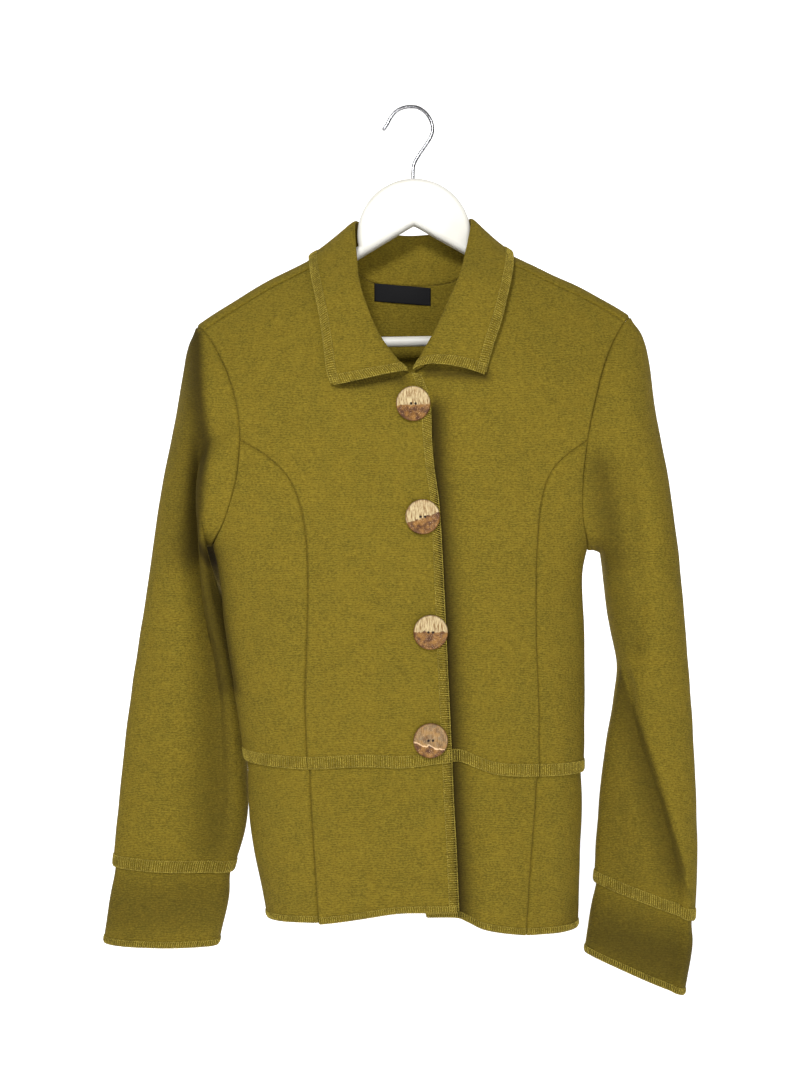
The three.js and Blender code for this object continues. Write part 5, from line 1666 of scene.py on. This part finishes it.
def button_material(meet, slope, cream_share, streak, seed):
    """A button: copper brown with bright specks below, and above, its upright grain painted cream.

    The cream is a painted reflection of the light above. The two meet on a wavy line, where a pale
    streak can lie. The rim is dark, and the two holes are painted dark with the shade inside them.
    """
    look = bpy.context.scene.cardigan_buttons
    material, sheet, shader = new_material(f"reflection-painted button {seed:.0f}")
    uv = sheet.place("UV")
    moved = sheet.vector("ADD", uv, (seed * 0.37, seed * 0.11, seed)).outputs[0]
    grain = sheet.noise(sheet.stretched(moved, (1300, 130, 1)), 1, 3, 0.6)
    flow = sheet.noise(moved, 160, 3, 0.6)
    cream = sheet.mix(sheet.ramp(grain, 0.38, 0.58), linear(look.cream_dark), linear(look.cream))
    clouds = sheet.math("MULTIPLY", sheet.ramp(flow, 0.5, 0.75), 0.5)
    cream = sheet.mix(clouds, cream, linear(look.tan))
    specks = sheet.add("ShaderNodeTexVoronoi", {"Vector": moved, "Scale": 900.0}, feature="F1")
    bright = sheet.math("MULTIPLY", sheet.ramp(specks.outputs["Distance"], 0.24, 0.12), 0.75)
    brown = sheet.mix(sheet.ramp(flow, 0.35, 0.65), linear(look.copper_dark), linear(look.copper))
    brown = sheet.mix(bright, brown, linear(look.speck))
    cream = sheet.mix(cream_share, brown, cream)
    axes = sheet.add("ShaderNodeSeparateXYZ", {0: uv}).outputs
    wave = sheet.math("MULTIPLY", sheet.math("SUBTRACT", flow, 0.5), 0.008)
    height = sheet.math("ADD", sheet.weighed(axes[1], 1, axes[0], -slope), wave)
    height = sheet.math("SUBTRACT", height, meet * MM)
    # Painted reflection: above the wavy line the button is painted cream over its grain, as the
    # light above would show it
    colour = sheet.mix(sheet.ramp(height, -0.0005, 0.0005), brown, cream)
    near = sheet.ramp(sheet.math("ABSOLUTE", height), 0.0009, 0.0003)
    colour = sheet.mix(sheet.math("MULTIPLY", near, streak), colour, linear(look.speck))
    rim = sheet.ramp(sheet.vector("LENGTH", uv).outputs[1], 0.0146, 0.016)
    colour = sheet.mix(sheet.math("MULTIPLY", rim, 0.7), colour, linear(look.copper_dark))
    # Painted shade: the two holes are painted dark as the shade inside them
    for side in (-1, 1):
        centre = (side * BUTTON_HOLE_SPACING / 2 * MM, 0, 0)
        hole = sheet.ramp(sheet.vector("DISTANCE", uv, centre).outputs[1], 0.0014, 0.0009)
        colour = sheet.mix(hole, colour, linear(look.hole))
    inputs = {
        "Base Color": colour,
        "Roughness": sheet.weighed(grain, 0.2, 0.36, 1),
        "Specular IOR Level": 0.22,
        "Coat Weight": 0.1,
        "Coat Roughness": 0.12,
        "Normal": sheet.bump(grain, 0.25, 0.0003),
    }
    sheet.put(shader, inputs)
    return material


def paint_material():
    """White satin paint on smooth wood, with a faint brushed unevenness."""
    if "white satin paint" in bpy.data.materials:
        return bpy.data.materials["white satin paint"]
    look = bpy.context.scene.cardigan_hanger
    material, sheet, shader = new_material("white satin paint")
    place = sheet.place()
    grain = sheet.noise(sheet.stretched(place, (18, 260, 260)), 1, 3)
    blotch = sheet.noise(place, 22)
    worn = sheet.ramp(blotch, 0.35, 0.7)
    inputs = {
        "Base Color": sheet.mix(worn, linear(look.paint), linear(look.paint_worn)),
        "Roughness": sheet.weighed(blotch, 0.16, 0.34, 1),
        "Normal": sheet.bump(grain, 0.12, 0.0004),
    }
    sheet.put(shader, inputs)
    return material


def wire_material():
    """Bright chromed wire with fine drawing marks."""
    look = bpy.context.scene.cardigan_hanger
    material, sheet, shader = new_material("chromed wire")
    marks = sheet.noise(sheet.place(), 700)
    colour = sheet.mix(sheet.ramp(marks, 0.3, 0.7), linear(look.wire), linear(look.wire_dark))
    inputs = {
        "Base Color": colour,
        "Metallic": 1.0,
        "Roughness": sheet.weighed(marks, 0.12, 0.08, 1),
    }
    sheet.put(shader, inputs)
    return material


def label_material():
    """Black satin with a fine slanting twill."""
    material, sheet, shader = new_material("black satin")
    threads = {"Vector": sheet.place("UV"), "Scale": 900.0, "Distortion": 0.4}
    twill = sheet.add("ShaderNodeTexWave", threads, bands_direction="DIAGONAL").outputs["Fac"]
    inputs = {
        "Base Color": sheet.mix(twill, linear(shade(5, 5, 7)), linear(shade(13, 13, 16))),
        "Roughness": 0.7,
        "Specular IOR Level": 0.2,
        "Normal": sheet.bump(twill, 0.2, 0.0002),
    }
    sheet.put(shader, inputs)
    return material


def backdrop_material():
    """The studio's pale matt sweep, which glows a little of itself and is clear from behind."""
    material, sheet, shader = new_material("studio white")
    behind = sheet.add("ShaderNodeNewGeometry").outputs["Backfacing"]
    inputs = {
        "Base Color": linear(shade(250, 250, 249)),
        "Roughness": 0.9,
        "Alpha": sheet.math("SUBTRACT", 1, behind),
        "Emission Color": (1, 1, 1, 1),
        "Emission Strength": BACKDROP_GLOW,
    }
    sheet.put(shader, inputs)
    return material


# Settings


def colour_property(name, description, default):
    """A colour that a user can change."""
    return FloatVectorProperty(
        name=name, description=description, subtype="COLOR", size=3, min=0, max=1, default=default
    )


class WoolSettings(bpy.types.PropertyGroup):
    """Colours of the cloth and its thread."""

    light: colour_property("Light", "Tips of the nap", shade(141, 122, 38))
    dark: colour_property("Dark", "Hollows of the nap", shade(71, 59, 10))
    warm: colour_property("Warm", "Warmer patches", shade(124, 105, 29))
    cool: colour_property("Cool", "Greener patches", shade(103, 91, 26))
    # The colour of the painted shade deep in the folds
    shaded: colour_property("Shaded", "Deep in the folds", shade(44, 35, 5))
    thread: colour_property("Thread", "Overlock thread", shade(190, 170, 70))
    thread_dark: colour_property("Thread, dark", "Between the thread's plies", shade(92, 78, 22))


class ButtonSettings(bpy.types.PropertyGroup):
    """Colours of the buttons."""

    # The cream upper half is a painted reflection of the light above, over the button's grain
    cream: colour_property("Cream", "Upper half", shade(196, 176, 132))
    cream_dark: colour_property("Cream grain", "Grain of the upper half", shade(126, 94, 50))
    tan: colour_property("Tan", "Clouds in the upper half", shade(158, 122, 74))
    copper: colour_property("Copper", "Lower half", shade(140, 97, 38))
    copper_dark: colour_property("Dark copper", "Clouds in the lower half", shade(76, 42, 15))
    speck: colour_property("Speck", "Bright specks and streaks", shade(226, 190, 146))
    # The painted shade inside the holes
    hole: colour_property("Hole", "Inside the two holes", shade(40, 22, 10))


class HangerSettings(bpy.types.PropertyGroup):
    """Colours of the hanger."""

    paint: colour_property("Paint", "White paint", shade(222, 220, 212))
    paint_worn: colour_property("Worn paint", "Uneven places in the paint", shade(214, 211, 200))
    wire: colour_property("Wire", "Chromed wire", shade(168, 168, 170))
    wire_dark: colour_property("Wire marks", "Drawing marks on the wire", shade(96, 96, 100))


class StudioSettings(bpy.types.PropertyGroup):
    """Camera, floor and wall."""

    camera_distance: FloatProperty(
        name="Camera distance", description="In front of the hook", subtype="DISTANCE", default=1.3
    )
    camera_x: FloatProperty(
        name="Camera across", description="From the hook", subtype="DISTANCE", default=-0.00485
    )
    camera_z: FloatProperty(
        name="Camera height", description="From the hook", subtype="DISTANCE", default=-0.4186
    )
    lens: FloatProperty(
        name="Lens", description="In millimetres on a 36 mm long side", default=44.67
    )
    floor_z: FloatProperty(
        name="Floor height", description="From the hook", subtype="DISTANCE", default=-1.15
    )
    wall_y: FloatProperty(
        name="Wall distance", description="Behind the hook", subtype="DISTANCE", default=1.4
    )


# Operators


class CARDIGAN_OT_bodice(bpy.types.Operator):
    """Makes the fronts and the back down to the waist seam"""

    bl_idname = "cardigan.bodice"
    bl_label = "Bodice"

    def execute(self, context):
        for side in SIDES:
            front_panels(side)
        back_panel()
        return {"FINISHED"}


class CARDIGAN_OT_peplum(bpy.types.Operator):
    """Makes the peplum below the waist seam"""

    bl_idname = "cardigan.peplum"
    bl_label = "Peplum"

    def execute(self, context):
        for side in SIDES:
            peplum_panels(side)
        peplum_back()
        return {"FINISHED"}


class CARDIGAN_OT_sleeves(bpy.types.Operator):
    """Makes the sleeves and their cuffs"""

    bl_idname = "cardigan.sleeves"
    bl_label = "Sleeves and cuffs"

    def execute(self, context):
        for side in SIDES:
            sleeves_and_cuffs(side)
        return {"FINISHED"}


class CARDIGAN_OT_collar(bpy.types.Operator):
    """Makes the collar"""

    bl_idname = "cardigan.collar"
    bl_label = "Collar"

    def execute(self, context):
        collar_piece()
        return {"FINISHED"}


class CARDIGAN_OT_buttons(bpy.types.Operator):
    """Makes the buttons"""

    bl_idname = "cardigan.buttons"
    bl_label = "Buttons"

    def execute(self, context):
        for index in range(len(BUTTONS)):
            add_button(index)
        return {"FINISHED"}


class CARDIGAN_OT_label(bpy.types.Operator):
    """Makes the bare neck label"""

    bl_idname = "cardigan.label"
    bl_label = "Neck label"

    def execute(self, context):
        add_label()
        return {"FINISHED"}


class CARDIGAN_OT_hanger(bpy.types.Operator):
    """Makes the hanger, its bar and its hook"""

    bl_idname = "cardigan.hanger"
    bl_label = "Hanger"

    def execute(self, context):
        add_hanger_wood()
        add_bar_and_hook()
        return {"FINISHED"}


def add_area_light(name, place, size, power):
    """A square lamp at a place, turned to LIGHT_TARGET."""
    data = bpy.data.lights.new(name, "AREA")
    data.size = size
    data.energy = power
    lamp = bpy.data.objects.new(name, data)
    lamp.location = place
    way = Vector(LIGHT_TARGET) - Vector(place)
    lamp.rotation_euler = way.to_track_quat("-Z", "Y").to_euler()
    bpy.context.scene.collection.objects.link(lamp)


class CARDIGAN_OT_studio(bpy.types.Operator):
    """Makes the floor, the wall, the lights and the camera"""

    bl_idname = "cardigan.studio"
    bl_label = "Studio"

    def execute(self, context):
        look = context.scene.cardigan_studio
        floor_z, wall_y = look.floor_z / MM, look.wall_y / MM
        turn = np.linspace(0, np.pi / 2, 12)
        forward = SWEEP_BEND * (np.sin(turn) - 1)
        up = SWEEP_BEND * (1 - np.cos(turn))
        y = np.concatenate([[-SWEEP_HALF], wall_y + forward, [wall_y]])
        z = np.concatenate([[floor_z], floor_z + up, [SWEEP_TOP]])
        rows = [np.stack([np.full_like(y, x), y, z], -1) for x in (-SWEEP_HALF, SWEEP_HALF)]
        count = len(y)
        a = np.arange(count - 1)
        faces = quads(a, a + count, a + count + 1, a + 1)
        make_object("studio_sweep", np.concatenate(rows), faces, backdrop_material())
        for light in LIGHTS:
            add_area_light(*light)
        world = bpy.data.worlds.new("studio")
        world.use_nodes = True
        background = world.node_tree.nodes["Background"]
        background.inputs["Color"].default_value = (1, 1, 1, 1)
        background.inputs["Strength"].default_value = WORLD_LIGHT
        context.scene.world = world
        data = bpy.data.cameras.new("camera")
        data.sensor_width = 36
        data.lens = look.lens
        camera = bpy.data.objects.new("camera", data)
        camera.location = (look.camera_x, -look.camera_distance, look.camera_z)
        camera.rotation_euler = (np.pi / 2, 0, 0)
        context.scene.collection.objects.link(camera)
        context.scene.camera = camera
        context.scene.view_settings.view_transform = "Standard"
        return {"FINISHED"}


class CARDIGAN_PT_panel(bpy.types.Panel):
    """Lists the pieces and their settings"""

    bl_idname = "CARDIGAN_PT_panel"
    bl_label = "Cardigan"
    bl_space_type = "VIEW_3D"
    bl_region_type = "UI"
    bl_category = "Cardigan"

    def draw(self, context):
        for name in SETTINGS:
            box = self.layout.box()
            group = getattr(context.scene, name)
            for key in group.__annotations__:
                box.prop(group, key)
        for operator in PIECES:
            self.layout.operator(operator.bl_idname)


SETTINGS = {
    "cardigan_wool": WoolSettings,
    "cardigan_buttons": ButtonSettings,
    "cardigan_hanger": HangerSettings,
    "cardigan_studio": StudioSettings,
}
PIECES = (
    CARDIGAN_OT_studio,
    CARDIGAN_OT_hanger,
    CARDIGAN_OT_bodice,
    CARDIGAN_OT_peplum,
    CARDIGAN_OT_sleeves,
    CARDIGAN_OT_collar,
    CARDIGAN_OT_label,
    CARDIGAN_OT_buttons,
)


def register():
    """Registers the settings, the operators and the panel."""
    for name, group in SETTINGS.items():
        bpy.utils.register_class(group)
        setattr(bpy.types.Scene, name, PointerProperty(type=group))
    for operator in PIECES:
        bpy.utils.register_class(operator)
    bpy.utils.register_class(CARDIGAN_PT_panel)


def unregister():
    """Takes them off again."""
    bpy.utils.unregister_class(CARDIGAN_PT_panel)
    for operator in reversed(PIECES):
        bpy.utils.unregister_class(operator)
    for name, group in SETTINGS.items():
        delattr(bpy.types.Scene, name)
        bpy.utils.unregister_class(group)


def main():
    """Makes every piece."""
    register()
    for operator in PIECES:
        family, name = operator.bl_idname.split(".")
        getattr(getattr(bpy.ops, family), name)()


if __name__ == "__main__":
    main()
